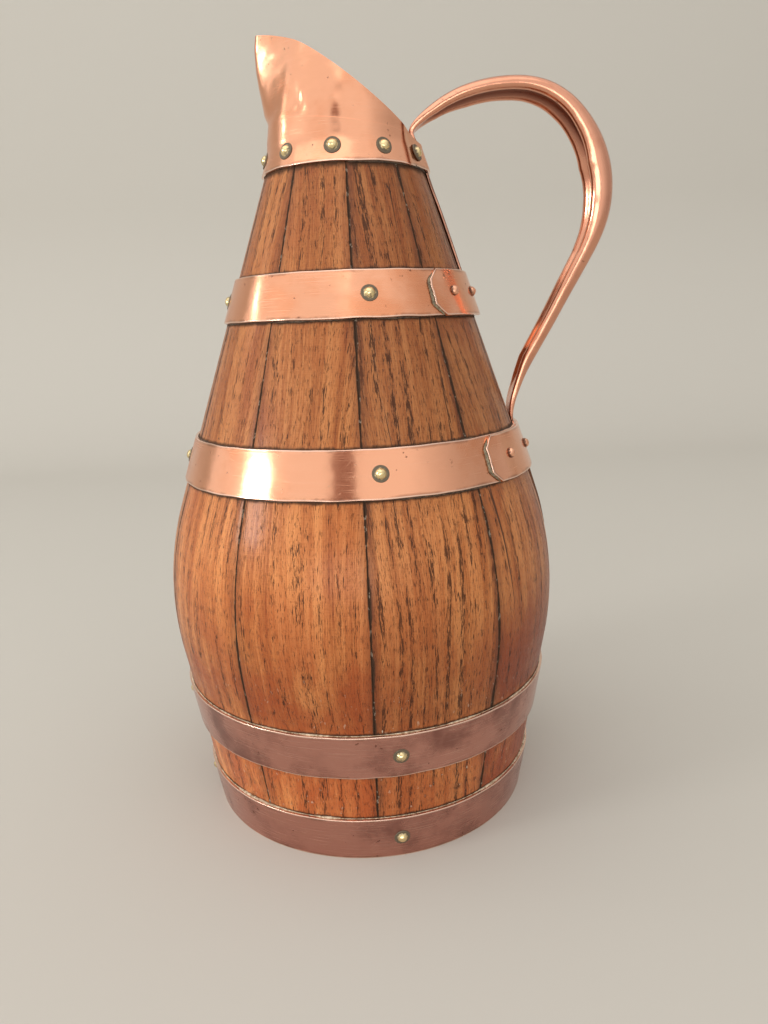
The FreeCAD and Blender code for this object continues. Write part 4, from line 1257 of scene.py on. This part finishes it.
handle_copper, tree, shader = new_material("handle_copper")
place = node(tree, "ShaderNodeUVMap", uv_map="UVMap").outputs[0]
body = node(tree, "ShaderNodeTexCoord").outputs["Object"]
polish = node(tree, "ShaderNodeGroup", {"Place": place, "Body Place": body}, node_tree=polish_tree)
level = node(tree, "ShaderNodeSeparateXYZ", {0: body}).outputs[2]
# painted shade: the hollow face under the upper arch is coloured dark
hollow_shade = calc(tree, "MULTIPLY", node(tree, "ShaderNodeAttribute", attribute_name="hollow").outputs[
    "Fac"], fade(tree, level, 0.200, 0.226))
colour = blend(tree, calc(tree, "MULTIPLY", polish.outputs["Tarnish"], 0.55),
               (0.78, 0.37, 0.24, 1), (0.55, 0.22, 0.13, 1))
colour = blend(tree, calc(tree, "MULTIPLY", polish.outputs["Scratches"], 0.10), colour,
               SCRATCH_GLINT)
colour = blend(tree, calc(tree, "MULTIPLY", polish.outputs["Specks"], 0.6), colour,
               (0.12, 0.05, 0.03, 1))
colour = blend(tree, calc(tree, "MULTIPLY", hollow_shade, 0.85), colour, (0.16, 0.06, 0.045, 1))
tails = node(tree, "ShaderNodeAttribute", attribute_name="beaten").outputs["Fac"]
colour = blend(tree, calc(tree, "MULTIPLY", tails, 0.8), colour, (0.07, 0.04, 0.03, 1))
tree.links.new(colour, shader.inputs["Base Color"])
shader.inputs["Metallic"].default_value = 1.0
rough = calc(tree, "ADD", calc(tree, "MULTIPLY", hollow_shade, 0.18), 0.17)
rough = calc(tree, "ADD", rough, calc(tree, "MULTIPLY", polish.outputs["Tarnish"], 0.1))
tree.links.new(rough, shader.inputs["Roughness"])
relief = calc(tree, "SUBTRACT", polish.outputs["Ripple"], calc(
    tree, "MULTIPLY", polish.outputs["Scratches"], 0.05))
bump = node(tree, "ShaderNodeBump", {"Height": relief, "Strength": 0.25, "Distance": 0.0005})
tree.links.new(bump.outputs[0], shader.inputs["Normal"])
handle_mesh.materials.append(handle_copper)
handle = link_object("copper_handle", handle_mesh)
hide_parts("handle")
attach(handle, "root")


# ---- Old polish ------------------------------------------------------------------------------
# Years of metal polish and wax have dried in the corners: a brown crust where each hoop meets
# the wood, cream lumps on top of the two lowest hoops, and a grey-green line beside each lap.

RESIDUE_SIDES = 7
RESIDUE_STEP = 0.7 * MM
LAP_POINTS = 19
CRUST_THICK = {"foot": 0.6 * MM, "belly": 0.36 * MM, "shoulder": 0.4 * MM, "neck": 0.4 * MM}


def residue_material(name, light, dark):
    """Dry crumbly polish, mottled between two colours."""
    material, tree, shader = new_material(name)
    place = node(tree, "ShaderNodeTexCoord").outputs["Object"]
    crumbs = cloud(tree, place, (900, 900, 900), 3.0, 0.65)
    tree.links.new(ramp(tree, crumbs, [(0.36, dark), (0.62, light)]), shader.inputs["Base Color"])
    tree.links.new(calc(tree, "ADD", calc(tree, "MULTIPLY", crumbs, 0.3), 0.6),
                   shader.inputs["Roughness"])
    bump = node(tree, "ShaderNodeBump", {"Height": crumbs, "Strength": 0.8, "Distance": 0.0003})
    tree.links.new(bump.outputs[0], shader.inputs["Normal"])
    return material


cream_crust = residue_material("cream_crust", (0.74, 0.60, 0.44), (0.30, 0.19, 0.11))
brown_crust = residue_material("brown_crust", (0.13, 0.085, 0.055), (0.030, 0.018, 0.012))
green_crust = residue_material("green_crust", (0.32, 0.27, 0.18), (0.10, 0.075, 0.045))


def crust(name, line, material, thin, thick, share):
    """A lumpy bead along a line of points; `share` is how much of its length is thick."""
    count = len(line)
    ring = []
    for step, point in enumerate(line):
        ahead = (Vector(line[min(step + 1, count - 1)]) - Vector(line[max(step - 1, 0)])).normalized()
        away = Vector((point[0], point[1], 0)).normalized()
        up = ahead.cross(away).normalized()
        for side in range(RESIDUE_SIDES):
            turn = math.tau * side / RESIDUE_SIDES
            spot = Vector(point) * 260 + Vector((0, 0, 2.1 * side))
            lumps = 0.5 + 0.5 * noise.noise(Vector(point) * 90 + Vector((7, 0, len(name))))
            swelling = ease((lumps - (1 - share)) / 0.25)
            size = thin + (thick - thin) * swelling * (0.55 + 0.9 * abs(noise.noise(spot * 3)))
            size *= min(1.0, 0.15 + step / 4, 0.15 + (count - 1 - step) / 4)
            ring.append(Vector(point) + (away * math.cos(turn) + up * math.sin(turn)) * size)
    mesh = bpy.data.meshes.new(name)
    mesh.from_pydata(ring, [], tube_faces(count, RESIDUE_SIDES))
    mesh.materials.append(material)
    mesh.shade_smooth()
    piece = link_object(name, mesh)
    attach(piece, "root")


def round_line(start, end, radius, height):
    """Points at one height from one angle to another."""
    count = int(abs(end - start) * radius / RESIDUE_STEP)
    return [round_point(start + (end - start) * step / count, radius, height)
            for step in range(count + 1)]


for name, (outer_end, inner_end) in lap_ends.items():
    low, high = (corner.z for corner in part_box(name + "_hoop"))
    start, end = outer_end + 0.02, outer_end + math.tau - 0.02
    low_down = name in ("foot", "belly")
    crust("crust_%s_top" % name, round_line(start, end, wall_radius(high) + 0.1 * MM, high + 0.05 * MM),
          cream_crust if low_down else brown_crust, 0.10 * MM,
          CRUST_THICK[name], 0.55)
    if low > 1 * MM:
        crust("crust_%s_bottom" % name, round_line(start, end, wall_radius(low) + 0.1 * MM,
                                                   low - 0.05 * MM),
              brown_crust, 0.08 * MM, 0.45 * MM, 0.5)
    middle, half = (low + high) / 2, (high - low) / 2
    lap_line = []
    for share in np.linspace(-1.0, 1.0, LAP_POINTS):
        clip = max(abs(share) * half - (half - LAP_CLIP), 0.0)
        height = middle + share * half * 0.97
        lap_line.append(round_point(outer_end + (clip - 0.2 * MM) / wall_radius(height),
                                    wall_radius(height) + SHEET + 0.25 * MM, height))
    crust("crust_%s_lap" % name, lap_line, green_crust, 0.26 * MM, 0.62 * MM, 0.85)
crust("crust_collar", round_line(0.0, math.tau, wall_radius(NECK_HEIGHT) + 0.1 * MM,
                                 NECK_HEIGHT - 0.1 * MM),
      brown_crust, 0.15 * MM, 0.6 * MM, 0.6)
